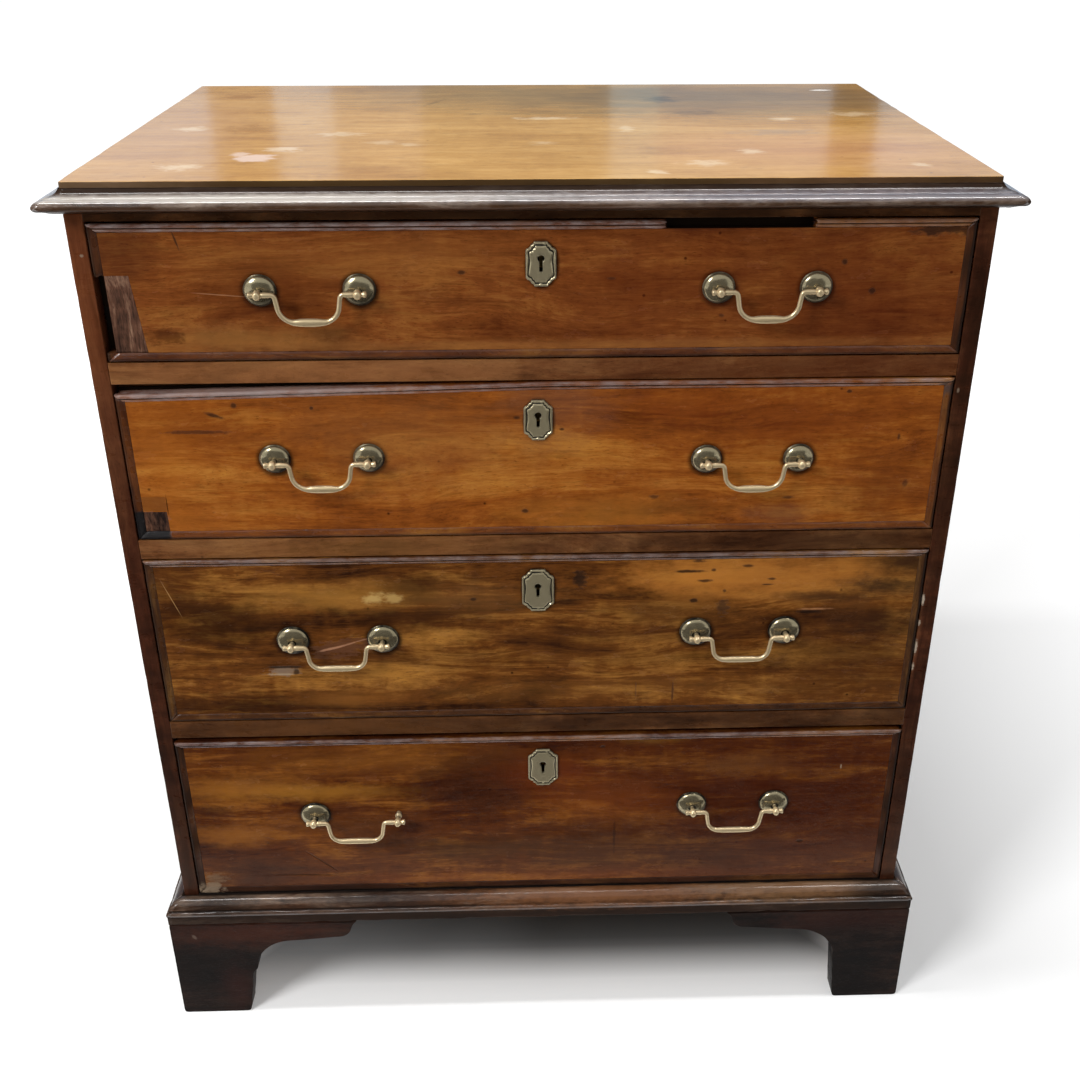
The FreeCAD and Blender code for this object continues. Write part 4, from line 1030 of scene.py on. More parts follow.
def bracket_board(steps, corner, way, inward, thick, mitred, seed):
    """A shaped board: its outline (s, z) repeated at depths d, set in near each face to round its edges.

    A point is corner + s * way + d * inward + z * up. Where the board is mitred, s is never less than d.
    """
    shape, outward, _, _ = eased(outline(steps), 2.2, 1.2)
    flat_foot = np.clip(shape[:, 1] / 3, 0, 1)
    # Each level is (depth, how far the outline is set in there, wear).
    levels = np.array([(0, 0.9, 0.3), (0.08, 0.45, 1), (0.35, 0.1, 1), (0.9, 0, 0.6), (3, 0, 0.1),
                       (thick - 0.7, 0, 0.5), (thick - 0.2, 0.3, 0.7), (thick, 0.7, 0.2)])
    spots = np.broadcast_to(shape, (len(levels), *shape.shape)) + levels[:, None, :1] * 0.6
    nibble = 0.5 * (ripple(spots, 14, seed) + 1) * 0.5 * flat_foot
    near_mitre = np.clip(shape[:, 0] / 4, 0.15, 1) if mitred else 1
    inset = levels[:, 1:2] * flat_foot * near_mitre + nibble
    across = shape - outward * inset[..., None]
    depth = np.broadcast_to(levels[:, :1], across.shape[:2])
    run = np.maximum(across[..., 0], depth) if mitred else across[..., 0]
    corner, way, inward = (np.array(value, float) for value in (corner, way, inward))
    points = corner + run[..., None] * way + depth[..., None] * inward
    points[..., 2] = np.maximum(across[..., 1], 0)
    grain = np.stack([run + seed * 300, across[..., 1], depth + seed * 9], -1)
    wear = levels[:, 2:] * (0.5 + 0.5 * ripple(spots, 20, seed + 1))
    return Skin(points, grain, wear, hub=int(np.argmax(shape[:, 1] - shape[:, 0])))


def front_foot(sign, seed):
    """Two shaped boards mitred at the corner, with a block glued behind them: sign is +1 at the left.

    The right foot's front board has no step in its curve.
    """
    low, high = corners("front_left_foot")
    outer, front, height = low[0], low[1], high[2]
    steps = BRACKET if sign > 0 else PLAIN_BRACKET
    corner, across, back = (outer * sign, front, 0), (sign, 0, 0), (0, 1, 0)
    face = bracket_board(steps, corner, across, back, FOOT_BOARD, True, seed)
    flank = bracket_board(BRACKET, corner, back, across, FOOT_BOARD, True, seed + 2)
    return [face, flank, foot_block(outer, sign, front + FOOT_BOARD, height, seed + 4)]


def rear_foot(sign, seed):
    """A shaped side board, a plain stay across the back and a block between them."""
    low, high = corners("rear_feet")
    outer, rear, height = low[0], high[1], high[2]
    across, ahead = (sign, 0, 0), (0, -1, 0)
    flank = bracket_board(BRACKET, (outer * sign, rear, 0), ahead, across, FOOT_BOARD, False, seed)
    steps = [(0, 0), (60, 0), (115, height), (0, height)]
    corner = ((outer + FOOT_BOARD) * sign, rear, 0)
    stay = bracket_board(steps, corner, across, ahead, FOOT_STAY, False, seed + 2)
    return [flank, stay, foot_block(outer, sign, rear - FOOT_STAY - FOOT_BLOCK, height, seed + 4)]


def foot_block(outer, sign, front, height, seed):
    """The upright block glued behind a foot's boards, a little clear of the floor."""
    near, far = sorted(((outer + FOOT_BOARD) * sign, (outer + FOOT_BOARD + FOOT_BLOCK) * sign))
    low, high = (near, front, 4), (far, front + FOOT_BLOCK, height)
    return worn_board(low, high, 2, 2, 0.8, seed, corner=1.5, spacing=8)


# ---------------------------------------------------------------- drawers

# The damage and stains of each drawer's front, with some painted shade at the right.
FRONT_MARKS = {
    1: (
        # Darker and redder at the right: painted shade over a redder tone.
        shadow(270, 790, 100, 50, "#54220f", 0.45),
        shadow(90, 790, 60, 40, "#5c2710", 0.35),
        shadow(-330, 825, 24, 26, "#3f1e12", 0.5),
        shadow(-215, 790, 40, 30, "#4f2610", 0.35),
        shadow(-120, 820, 90, 14, "#8a5626", 0.35),
        shadow(-230, 752, 70, 9, "#9a6a34", 0.45),
        shadow(0, 744, 340, 4, "#8f5e30", 0.4),
        stain(-300, 754, 13, 6, "#3a190b", 0.6, ragged=0.8),
        spot(-252, 789, 20, 0.45, "#b98b60", 0.3, turn=5, ragged=0.1),
        spot(-282, 833.5, 0.7, 6.5, turn=-15),
        torn(330, 839, 26, 5, "#1e0f0a", 0.8, ragged=0.9),
        spot(246.6, 812.1, 2.2),
        spot(271.1, 787.7, 2.6),
        spot(-60, 806, 2.6, 1.6),
        spot(60, 800, 3.4, 1.2, amount=0.5),
        spot(150, 768, 2.0, 1.4, amount=0.5),
        spot(-341.3, 801.4, 2.4, 3.4, "#d9c19a", 0.9, soft=0.25, ragged=0.3),
    ),
    2: (
        shadow(210, 675, 90, 28, "#6c3011", 0.45),
        shadow(120, 690, 50, 16, "#6c3011", 0.35),
        shadow(20, 690, 40, 26, "#6b4430", 0.45),
        shadow(-110, 660, 90, 36, "#7b4d28", 0.4),
        shadow(-290, 672, 46, 16, "#6a330f", 0.4),
        shadow(-320, 640, 26, 40, "#a25e1e", 0.35),
        shadow(-310, 585, 40, 14, "#9c5c20", 0.3),
        shadow(60, 585, 70, 14, "#a46a26", 0.4),
        shadow(300, 610, 34, 26, "#55270f", 0.5),
        shadow(213, 584, 26, 8, "#573628", 0.55),
        shadow(120, 590, 36, 7, "#4f2c12", 0.4),
        stain(-333.8, 601.5, 12.5, 7, "#6d3f1a", 0.7, soft=0.06, ragged=0.03, square=True),
        stain(-334, 584, 4, 8, "#6c6a70", 0.5, turn=-20, ragged=0.9, grit=3.0),
        stain(-326, 588, 5, 2, "#6c6a70", 0.5, ragged=0.9, grit=3.0),
        stain(-320.6, 600, 0.5, 9, "#2a1208", 0.8, ragged=0.1),
        spot(-253, 693, 2.2),
        spot(-189, 690, 1.5),
        spot(-270, 684, 7, 1.6, amount=0.8, turn=18, ragged=0.5),
        spot(-287, 669, 22, 1.6, "#3f1b0b", 0.75, ragged=0.7),
        spot(-18, 679, 2.8, 1.6),
        spot(20, 668, 1.8, 1.2),
        spot(-12, 590, 2.8, 1.8),
        spot(-162, 572, 3.0, 1.6),
        spot(309, 657, 1.2, 3.0, amount=0.7),
        spot(320, 612, 2.0, 4.0, amount=0.5, ragged=0.6),
        spot(262, 700, 2.0, 1.6),
        spot(100, 602, 4, 2, amount=0.6, ragged=0.7),
        spot(218, 600, 5, 1.2, amount=0.6, ragged=0.5),
    ),
    3: (
        shadow(215, 518, 105, 22, "#a8692a", 0.75),
        shadow(140, 520, 40, 20, "#b0702c", 0.5),
        shadow(-180, 506, 60, 12, "#9f6e2e", 0.6),
        shadow(-60, 500, 60, 14, "#75502a", 0.35),
        shadow(60, 400, 200, 10, "#70481f", 0.35),
        shadow(120, 484, 60, 14, "#4b2f14", 0.5),
        # Darker at the right: painted shade.
        shadow(290, 430, 70, 50, "#41230f", 0.55),
        shadow(335, 533, 30, 13, "#20130f", 0.85),
        shadow(318, 508, 36, 9, "#1d1412", 0.85),
        shadow(262, 497, 36, 6, "#2c1a12", 0.75),
        shadow(312, 468, 40, 12, "#22140f", 0.6),
        shadow(-293, 478, 44, 26, "#231107", 0.75),
        shadow(-330, 520, 24, 20, "#3a1d0d", 0.5),
        shadow(-112, 516, 20, 14, "#2a1409", 0.65),
        shadow(-100, 480, 44, 11, "#2a1409", 0.65),
        shadow(-270, 386, 80, 12, "#1f0e07", 0.8),
        shadow(-180, 392, 40, 8, "#8a5724", 0.5),
        shadow(0, 436, 330, 10, "#46270f", 0.35),
        shadow(60, 460, 120, 8, "#3d210f", 0.45),
        torn(-180, 449, 23, 9, "#5a3520", 0.85, turn=-12, soft=0.4, ragged=0.9),
        stain(-192, 449, 10, 1.0, "#a97a5c", 0.8, turn=-14, ragged=0.5),
        stain(-172, 455, 13, 0.8, "#a97a5c", 0.6, turn=-18, ragged=0.6),
        torn(-238.4, 425, 14, 4.4, "#786656", 0.75, soft=0.4, ragged=0.8, grit=3.0),
        stain(-242, 421.5, 12, 1.0, "#a89578", 0.5, ragged=0.6),
        spot(-238.4, 429.5, 14, 1.2, "#1d0f07", 0.85, soft=0.4, ragged=0.6),
        spot(-226, 424, 2.5, 3.4, "#1d0f07", 0.8, ragged=0.7),
        spot(-330, 505, 0.4, 17, "#b98d55", 0.5, turn=-20, ragged=0.05),
        stain(-150, 503, 9, 5, "#bb9a5c", 0.75, soft=0.6, ragged=0.7),
        stain(-133, 502, 7, 4, "#bb9a5c", 0.6, soft=0.6, ragged=0.7),
        spot(36, 520, 6, 7, "#1a0d08", 0.85, ragged=0.7),
        spot(135, 526, 13, 1.5, "#200e06", 0.9, ragged=0.4),
        spot(143, 537, 6, 2.0, "#2c1408", 0.8, ragged=0.8),
        spot(150, 516, 6, 1.6, "#2c1408", 0.85, ragged=0.5),
        spot(157, 527, 2, 1.4, "#2c1408", 0.8),
        spot(188, 531, 5, 1.4, "#2c1408", 0.8, ragged=0.5),
        spot(210, 517, 4, 1.4, "#2c1408", 0.8, ragged=0.5),
        spot(206, 511, 6, 0.9, "#2c1408", 0.8, ragged=0.5),
        spot(140, 495, 3, 2, "#1d0d06", 0.85, ragged=0.5),
        spot(168, 505, 1.4, 1.4, "#2c1408", 0.7),
        spot(167, 488, 5, 6, "#2a1a12", 0.6, ragged=1.0),
        spot(247, 481, 9, 1.8, "#1a0a06", 0.9, ragged=0.5),
        stain(252, 484, 12, 1.0, "#b07c54", 0.5, ragged=0.5),
        spot(125, 393, 0.9, 11, "#3a1c0c", 0.7, ragged=0.3),
        spot(90, 396, 0.6, 8, "#3a1c0c", 0.4, ragged=0.3),
        spot(-60, 500, 2.4, 1.6),
    ),
    4: (
        shadow(-297, 287, 64, 13, "#8a561e", 0.7),
        shadow(-208, 280, 60, 8, "#93601f", 0.7),
        shadow(-300, 228, 44, 10, "#8a5520", 0.65),
        shadow(-160, 320, 140, 16, "#754416", 0.5),
        shadow(-200, 235, 70, 14, "#70401a", 0.4),
        shadow(-56, 296, 50, 36, "#30150a", 0.65),
        shadow(-120, 275, 40, 10, "#2f1409", 0.5),
        shadow(-330, 258, 22, 8, "#2c150c", 0.6),
        shadow(-290, 172, 34, 20, "#2c110b", 0.8),
        shadow(-70, 205, 75, 14, "#38200d", 0.6),
        shadow(75, 262, 60, 24, "#803f12", 0.5),
        shadow(10, 300, 44, 20, "#6a2a0d", 0.45),
        shadow(70, 208, 75, 28, "#38200e", 0.6),
        # Darker at the right: painted shade.
        shadow(230, 250, 150, 100, "#3b150a", 0.6),
        shadow(200, 306, 40, 10, "#6b4220", 0.4),
        shadow(108, 341, 26, 7, "#71501f", 0.5),
        shadow(242, 345, 30, 5, "#6d4c20", 0.5),
        shadow(170, 190, 50, 26, "#2b110a", 0.55),
        shadow(20, 165, 200, 7, "#6b3212", 0.4),
        torn(-335, 160, 8, 6, "#84725e", 0.75, soft=0.6, ragged=1.2, grit=3.0),
        torn(-330, 171, 9, 6, "#75604c", 0.6, soft=0.7, ragged=1.2, grit=3.0),
        spot(-220, 190, 17, 0.8, "#2c1409", 0.7, turn=42, ragged=0.3),
        spot(-243, 174, 30, 0.9, "#2c1409", 0.7, turn=2, ragged=0.5),
        stain(73, 217, 1.2, 19, "#24120a", 0.6, ragged=0.6),
        spot(295, 300, 0.7, 2.4, "#a08a70", 0.7),
        spot(60, 330, 2.4, 1.6),
        spot(-60, 342, 2.6, 1.4),
        spot(-250, 342, 3.0, 1.4),
        spot(262, 205, 3.0, 1.6),
    ),
}

FRONT_LOOKS = {
    1: dict(seed=12.0, figure=0.8, streaks=0.3, smoke=0.2),
    2: dict(seed=13.0, figure=0.9, streaks=0.3, smoke=0.15),
    3: dict(seed=14.5, figure=1.1, streaks=0.45, smoke=0.4),
    4: dict(seed=15.0, figure=1.0, streaks=0.35, smoke=0.35),
}


def grime_and_shade_round_brasses(drawer):
    """Dark rings round a drawer's roses and key plate, set a little low and to the right: a painted contact
    shadow over a little old polish.
    """
    grime = "#140905"
    rim, places = rose_places(drawer)
    rings = [stain(across, up - 1, rim + 2.2, rim + 2.6, grime, 0.8, soft=0.16, ragged=0.06)
             for _, across, up in places]
    low, high = corners(f"drawer_{drawer}_key_plate")
    middle, half = (low + high) / 2, (high - low) / 2
    plate = stain(middle[0] + 0.6, middle[2] - 0.3, half[0] + 1.5, half[2] + 1.5, grime, 0.85, soft=0.12,
                  ragged=0.05)
    return (*rings, plate)


class CHEST_OT_fronts(Operator):
    """The four drawer fronts, each with its own figure and damage, and the torn wood in broken places"""

    bl_idname = "chest.fronts"
    bl_label = "Drawer fronts"

    def execute(self, context):
        for drawer in DRAWERS:
            marks = grime_and_shade_round_brasses(drawer) + FRONT_MARKS[drawer]
            finish = wood(f"drawer front {drawer}", f"front_{drawer}", gloss=(0.13, 0.3), specular=0.22,
                          tint=GLOW, specks=0.55, marks=marks, gap_shade_from=FACE, **FRONT_LOOKS[drawer])
            finish_node(f"drawer_{drawer}_front", finish, 0)
        bare = wood("torn wood", "bare", grain="z", seed=16.0, figure=0.5, spread=0.09, streaks=0.6,
                    pores=0.8, gloss=(0.7, 0.95), specular=0.1, relief=1.0)
        for drawer, places in BROKEN_PLACES.items():
            skin = torn_floor(*places, seed=61 + drawer)
            make_piece(f"drawer_{drawer}_broken_place", [skin], bare, f"drawer_{drawer}")
        return {"FINISHED"}


# Corners of each broken place as (across, up): bottom left, bottom right, top right, top left.
BROKEN_PLACES = {
    1: ((-341.7, 740.8), (-316.1, 740.8), (-322.8, 805.4), (-341.7, 805.4)),
    2: ((-341.7, 574.8), (-321.3, 574.8), (-321.7, 593.9), (-341.7, 593.9)),
}


def torn_floor(first, second, third, fourth, seed):
    """Torn wood on a broken place's floor: a grid between four corners, its height a sum of ripples.

    The back lies a little inside the wood, so the sheet is closed and sits tight.
    """
    share = np.linspace(0, 1, 34)
    rise, run = np.meshgrid(share, share, indexing="ij")
    corner = [np.array(value, float) for value in (first, second, third, fourth)]
    foot = corner[0] + (corner[1] - corner[0]) * run[..., None]
    head = corner[3] + (corner[2] - corner[3]) * run[..., None]
    flat = foot + (head - foot) * rise[..., None]
    fibres = 0.55 * ripple(flat * (1, 0.2), 3.5, seed) + 0.35 * ripple(flat * (1, 0.4), 1.6, seed + 1)
    rim = np.minimum(np.minimum(run, 1 - run), np.minimum(rise, 1 - rise))
    height = 0.75 + 0.45 * fibres + 0.35 * np.exp(-rim * 14)
    face = np.stack([flat[..., 0], FACE + 1.5 - height, flat[..., 1]], -1)
    back = np.stack([flat[..., 0], np.full(height.shape, FACE + 1.7), flat[..., 1]], -1)
    return Skin(np.concatenate([face, back[:, ::-1]], 1))


class CHEST_OT_beads(Operator):
    """The moulded strips round the drawer fronts, broken away in places on the first drawer"""

    bl_idname = "chest.beads"
    bl_label = "Beads"

    def execute(self, context):
        chips = sizes()["bead_wear"]
        for drawer in DRAWERS:
            worn = wood(f"beads {drawer}", f"front_{drawer}", marks=BEAD_MARKS.get(drawer, ()),
                        follow_grain=True, seed=17.0 + drawer, deepen=0.75, worn=0.9, rub="bead_wear_and_shine",
                        gloss=(0.12, 0.28), specular=0.35, coat=0.15, relief=0.35)
            skins = bead_strips(drawer, chips)
            name = f"drawer_{drawer}_cockbeads"
            make_piece(f"drawer_{drawer}_beads", skins, worn, f"drawer_{drawer}", [name])
        return {"FINISHED"}


# Sections as (outward from the edge, proud of the front): two rounds and a groove, and a plain worn lip.
TWO_ROUNDS = [(-7.5, -9.8), (0, -9.8), (0, 1.3), (-1.95, 3.15, 1.96, 1), (-3.8, 1.3, 1.96, 1), (-4.1, 0.75),
              (-6.4, 0.75, 1.25, 1), (-7.5, 0.2)]
WORN_LIP = [(-7.5, -9.8), (0, -9.8), (0, 0.3), (-2.2, 1.9, 2.4, 1), (-4.4, 1.3), (-7.5, 0.25)]
BEAD_MARKS = {
    # The first mark paints the top strip pale at the left: a painted highlight.
    2: (stain(-250, 707, 110, 5, "#aa9e9b", 0.45, soft=0.8, ragged=0.6),
        torn(-336, 581, 15.5, 14, "#131011", 1.0, soft=0.1, ragged=0.1, square=True),
        stain(-338, 584, 3.0, 8, "#4d4a4c", 0.4, turn=-20, ragged=0.9, grit=3.0),
        torn(348, 703, 12, 6, "#3a312d", 0.7, ragged=0.8)),
    4: (torn(-340, 158, 12, 6, "#84725e", 0.7, soft=0.6, ragged=1.2, grit=3.0),),
}
# How pale each drawer's top strip is made, as rub and as a painted highlight on its top, and how dark its
# left, right and bottom strips are made, a painted shade.
TOP_SHINE = {1: 0.85, 2: 0.55, 3: 0.5, 4: 0.5}
STRIP_SHADE = {1: (0.6, 0.85, 0.3), 2: (0.45, 0.6, 0.25), 3: (0.5, 0.8, 0.4), 4: (0.8, 0.8, 0.7)}


def bead_strips(drawer, chips):
    """Strips along a front's four edges. The second drawer's top strip falls away to the left."""
    low, high = corners(f"drawer_{drawer}_cockbeads")
    rounds = eased(outline(TWO_ROUNDS), 0.42, 0.28)
    lip = eased(outline(WORN_LIP), 0.42, 0.5)
    left, right, bottom, top = low[0], high[0], low[2], high[2]
    fall = SLOPE if drawer == 2 else 0
    seed = 70 + drawer * 9
    common = dict(up=(0, -1, 0), chips=chips, spacing=4.0, rubbed=0.06)
    topmost = dict(common, rubbed=TOP_SHINE[drawer])
    at_left, at_right, at_bottom = (dict(common, painted_shade=amount) for amount in STRIP_SHADE[drawer])
    strips = [
        carried(lip, (left, FACE, bottom), (right, FACE, bottom), (0, 0, -1), seed=seed, **at_bottom),
        carried(lip, (right, FACE, bottom), (right, FACE, top), (1, 0, 0), seed=seed + 1, **at_right)]
    if drawer == 1:
        # The top strip is broken from 101 to 221 across, and the left one from 740.6 to 806 up.
        upward, leftward = (0, 0, 1), (-1, 0, 0)
        return strips + [
            carried(rounds, (left, FACE, top), (101, FACE, top), upward, seed=seed + 2, mitres=(1, 0),
                    ragged=(0, 2.2), **topmost),
            carried(rounds, (221, FACE, top), (right, FACE, top), upward, seed=seed + 3, mitres=(0, 1),
                    ragged=(2.2, 0), **dict(common, rubbed=0.3)),
            carried(lip, (left, FACE, bottom), (left, FACE, 740.6), leftward, seed=seed + 4, mitres=(1, 0),
                    ragged=(0, 1.2), **at_left),
            carried(lip, (left, FACE, 806), (left, FACE, top), leftward, seed=seed + 5, mitres=(0, 1),
                    ragged=(1.2, 0), **at_left)]
    strips.append(
        carried(lip, (left, FACE, bottom), (left, FACE, top - fall), (-1, 0, 0), seed=seed + 2, **at_left))
    along_top = carried(rounds, (left, FACE, top), (right, FACE, top), (0, 0, 1), seed=seed + 3, **topmost)
    share = np.clip((SLOPE_FROM - along_top.points[:, 0]) / (SLOPE_FROM - left), 0, 1)
    along_top.points[:, 2] -= fall * share
    return strips + [along_top]


class CHEST_OT_boxes(Operator):
    """The bare sides, backs and bottoms of the drawers"""

    bl_idname = "chest.boxes"
    bl_label = "Drawer boxes"

    def execute(self, context):
        plain = dict(gloss=(0.6, 0.85), specular=0.2, pores=0.5, streaks=0.3)
        # The drawer sides are painted black near the fronts: painted shade where they show in the gaps.
        sides = wood("bare drawer sides", "inner", grain="y", seed=18.0, blackened=FACE_BACK - 6, **plain)
        backs = wood("bare drawer backs", "inner", grain="x", seed=19.0, **plain)
        for drawer in DRAWERS:
            finish_node(f"drawer_{drawer}_sides", sides, 0.5)
            finish_node(f"drawer_{drawer}_back", backs, 0.5)
            finish_node(f"drawer_{drawer}_bottom", backs, 0.4)
        return {"FINISHED"}


# ---------------------------------------------------------------- brasses

class CHEST_OT_locks(Operator):
    """The locks let into the backs of the drawer fronts, and their bolts"""

    bl_idname = "chest.locks"
    bl_label = "Locks"

    def execute(self, context):
        case = brass("lock brass", "lock_brass", 0.45)
        for drawer in DRAWERS:
            finish_node(f"drawer_{drawer}_lock", case, 0.35)
            finish_node(f"drawer_{drawer}_lock_bolt", case, 0.5)
        return {"FINISHED"}


class CHEST_OT_key_plates(Operator):
    """The shaped brass plates round the keyholes"""

    bl_idname = "chest.key_plates"
    bl_label = "Key plates"

    def execute(self, context):
        thick = sizes()["plate_thickness"]
        dull = brass("dull brass plate", "plate_brass", 0.8, rough=(0.22, 0.5), metal=0.6, pitted=1.5)
        for drawer in DRAWERS:
            node = f"drawer_{drawer}_key_plate"
            low, high = corners(node)
            skin = shaped_plate((low + high) / 2, (high[0] - low[0]) / 2, thick, 90 + drawer)
            make_piece(f"drawer_{drawer}_plate", [skin], dull, f"drawer_{drawer}", [node])
        return {"FINISHED"}


def reach_to(shape, angle):
    """How far an outline round the origin lies in each direction: where the ray crosses its edges."""
    hair = 1e-6
    way = np.stack([np.cos(angle), np.sin(angle)], -1)[:, None, :]
    edge = np.roll(shape, -1, axis=0) - shape
    cross = way[..., 0] * edge[:, 1] - way[..., 1] * edge[:, 0]
    cross = np.where(np.abs(cross) < 1e-9, 1e-9, cross)
    far = (shape[:, 0] * edge[:, 1] - shape[:, 1] * edge[:, 0]) / cross
    share = (shape[:, 0] * way[..., 1] - shape[:, 1] * way[..., 0]) / cross
    return np.where((share >= -hair) & (share <= 1 + hair) & (far > 0), far, 0).max(1)


def shaped_plate(middle, wide, thick, seed):
    """A key plate: rings from the keyhole out to a stepped eight-sided outline.

    A point is at r = hole + (rim - hole) * t in direction a. Its height is the plate's, with a raised
    border along the rim, a groove inside that, a raised field round the keyhole and small studs at the
    corners.
    """
    tall = wide * 1.51
    # The rings' middle stands this far over the plate's, so that they see the whole keyhole.
    hub = 2.6
    # One stepped corner of the outline, as shares of its half width and half height.
    corner = [(0.44, 1), (0.5, 0.9), (0.64, 0.85), (0.73, 0.74), (0.93, 0.68), (1, 0.6)]
    rim = []
    for right, up in ((1, 1), (-1, 1), (-1, -1), (1, -1)):
        part = [(wide * x * right, tall * z * up - hub) for x, z in corner]
        rim += part[::-1] if right * up > 0 else part
    angle = np.linspace(0, 2 * pi, 200, endpoint=False)
    outer = reach_to(np.array(rim), angle)
    slot = np.array([(1.3, -6 - hub), (1.3, 4.5 - hub), (-1.3, 4.5 - hub), (-1.3, -6 - hub)])
    turn = np.linspace(0, 2 * pi, 48, endpoint=False)
    round_hole = np.stack([2.7 * np.cos(turn), 2.7 * np.sin(turn) + 4.5 - hub], -1)
    inner = np.maximum(reach_to(slot, angle), reach_to(round_hole, angle))
    share = np.concatenate([[0, 0.02, 0.05], np.linspace(0.09, 0.94, 40), [0.96, 0.975, 0.99, 1.0]])
    far = inner + (outer - inner) * share[:, None]
    x, z = far * np.cos(angle), far * np.sin(angle) + hub
    from_rim = (outer - inner) * (1 - share[:, None])
    from_hole = (outer - inner) * share[:, None]
    border = np.exp(-((from_rim - 1.2) / 0.8) ** 2)
    groove = np.exp(-((from_rim - 2.8) / 0.6) ** 2)
    field = 1 / (1 + np.exp((4.2 - from_rim) * 3.5))
    height = thick * (0.55 + 0.45 * np.clip(from_rim / 0.5, 0, 1))
    height = height + 0.55 * border - 0.3 * groove + 0.75 * field
    studs = [(right * 0.8, up * 0.66) for right in (-1, 1) for up in (-1, 1)] + [(0.25, 0.9), (0.0, -0.88)]
    stud = sum(np.exp(-(((x - wide * px) ** 2 + (z - tall * pz) ** 2) / 1.3) ** 2) for px, pz in studs)
    height = height + 0.5 * stud - 0.5 * np.exp(-(from_hole / 0.5) ** 2)
    height = height + 0.08 * ripple(np.stack([x, z], -1), 5, seed)
    face = np.stack([middle[0] + x, FACE - height, middle[2] + z], -1)
    back = np.stack([middle[0] + x, np.full(x.shape, FACE + 0.05), middle[2] + z], -1)
    points = np.concatenate([face, back[::-1]], 0)
    wear = np.clip(border + stud + 0.7 * field, 0, 1)
    dirt_and_shade = np.clip(np.exp(-(from_hole / 1.3) ** 2) + groove + 0.5 * np.exp(-(from_rim / 0.35) ** 2), 0, 1)
    still = np.zeros(x.shape)
    return Skin(points, None, np.vstack([wear, still]), np.vstack([dirt_and_shade, still]), loop=True)


def posts(drawer):
    """The places of a drawer's handle posts: (side, sign, across, up)."""
    places = []
    for side in SIDES:
        across, up, spacing = HANDLES[drawer, side]
        places += [(side, sign, across + spacing / 2 * sign, up) for sign in (-1, 1)]
    return places


def rose_places(drawer):
    """The radius of a drawer's roses, and (sign, across, up) for each of them."""
    rim = corners(f"drawer_{drawer}_handle_roses")[1][2] - max(up for _, _, _, up in posts(drawer))
    return rim, [(sign, across, up) for side, sign, across, up in posts(drawer)
                 if (drawer, side, sign) != LOST_ROSE]


# How much tarnish lies on each drawer's roses.
DULLED = {1: 0.6, 2: 0.7, 3: 1.0, 4: 1.0}


class CHEST_OT_handles(Operator):
    """The domed roses and the turned posts that carry the bails"""

    bl_idname = "chest.handles"
    bl_label = "Roses and posts"

    def execute(self, context):
        size = sizes()
        post = brass("rubbed post", "rubbed_brass", 0.25, metal=0.5)
        for drawer in DRAWERS:
            body = f"drawer_{drawer}"
            rim, places = rose_places(drawer)
            roses = [rose((across, FACE, up), rim, size, 100 + drawer * 4 + sign)
                     for sign, across, up in places]
            dull = brass(f"dull brass rose {drawer}", "dull_brass", DULLED[drawer], rough=(0.2, 0.4),
                         metal=0.8)
            make_piece(f"{body}_roses", roses, dull, body, [f"{body}_handle_roses"])
            skins = [skin for _, _, across, up in posts(drawer) for skin in post_and_nut(across, up)]
            make_piece(f"{body}_posts", skins, post, body, [f"{body}_handle_posts"])
        return {"FINISHED"}


def rose(centre, rim, size, seed):
    """A domed rose: (radius, height) = (R sin a, lip + rise cos a) from its crown down to a thin lip.

    Its upper left is lighter and its lower right darker, through its wear and dirt_and_shade layers: a
    painted highlight and painted shade.
    """
    turn = np.linspace(0.16, pi / 2, 18)
    lip = size["rose_rim"]
    dome = np.stack([(rim - 0.7) * np.sin(turn), lip + size["rose_rise"] * np.cos(turn) ** 0.9], -1)
    profile = np.vstack([dome, [(rim - 0.2, lip * 0.85), (rim, lip * 0.5), (rim, 0), (2.4, 0)]])
    angle = np.linspace(0, 2 * pi, 48, endpoint=False)
    # Painted shade falls on the lower right (low) and a painted highlight on the upper left (high).
    low = np.clip(np.cos(angle + radians(65)), 0, 1)
    high = np.clip(np.cos(angle - radians(110)), 0, 1)
    out = np.concatenate([np.sin(turn), [1, 1, 0, 0]])[:, None]
    wear = np.clip(0.25 + 0.75 * high * np.sin(out * pi), 0, 1)
    dirt_and_shade = np.clip(0.9 * low * out ** 2 + 0.6 * (out > 0.985) + 0.8 * (out < 0.25), 0, 1)
    profile[:, 1] *= -1
    return turned(profile, centre, angle, wear, dirt_and_shade, loop=True, dented=0.15, seed=seed)


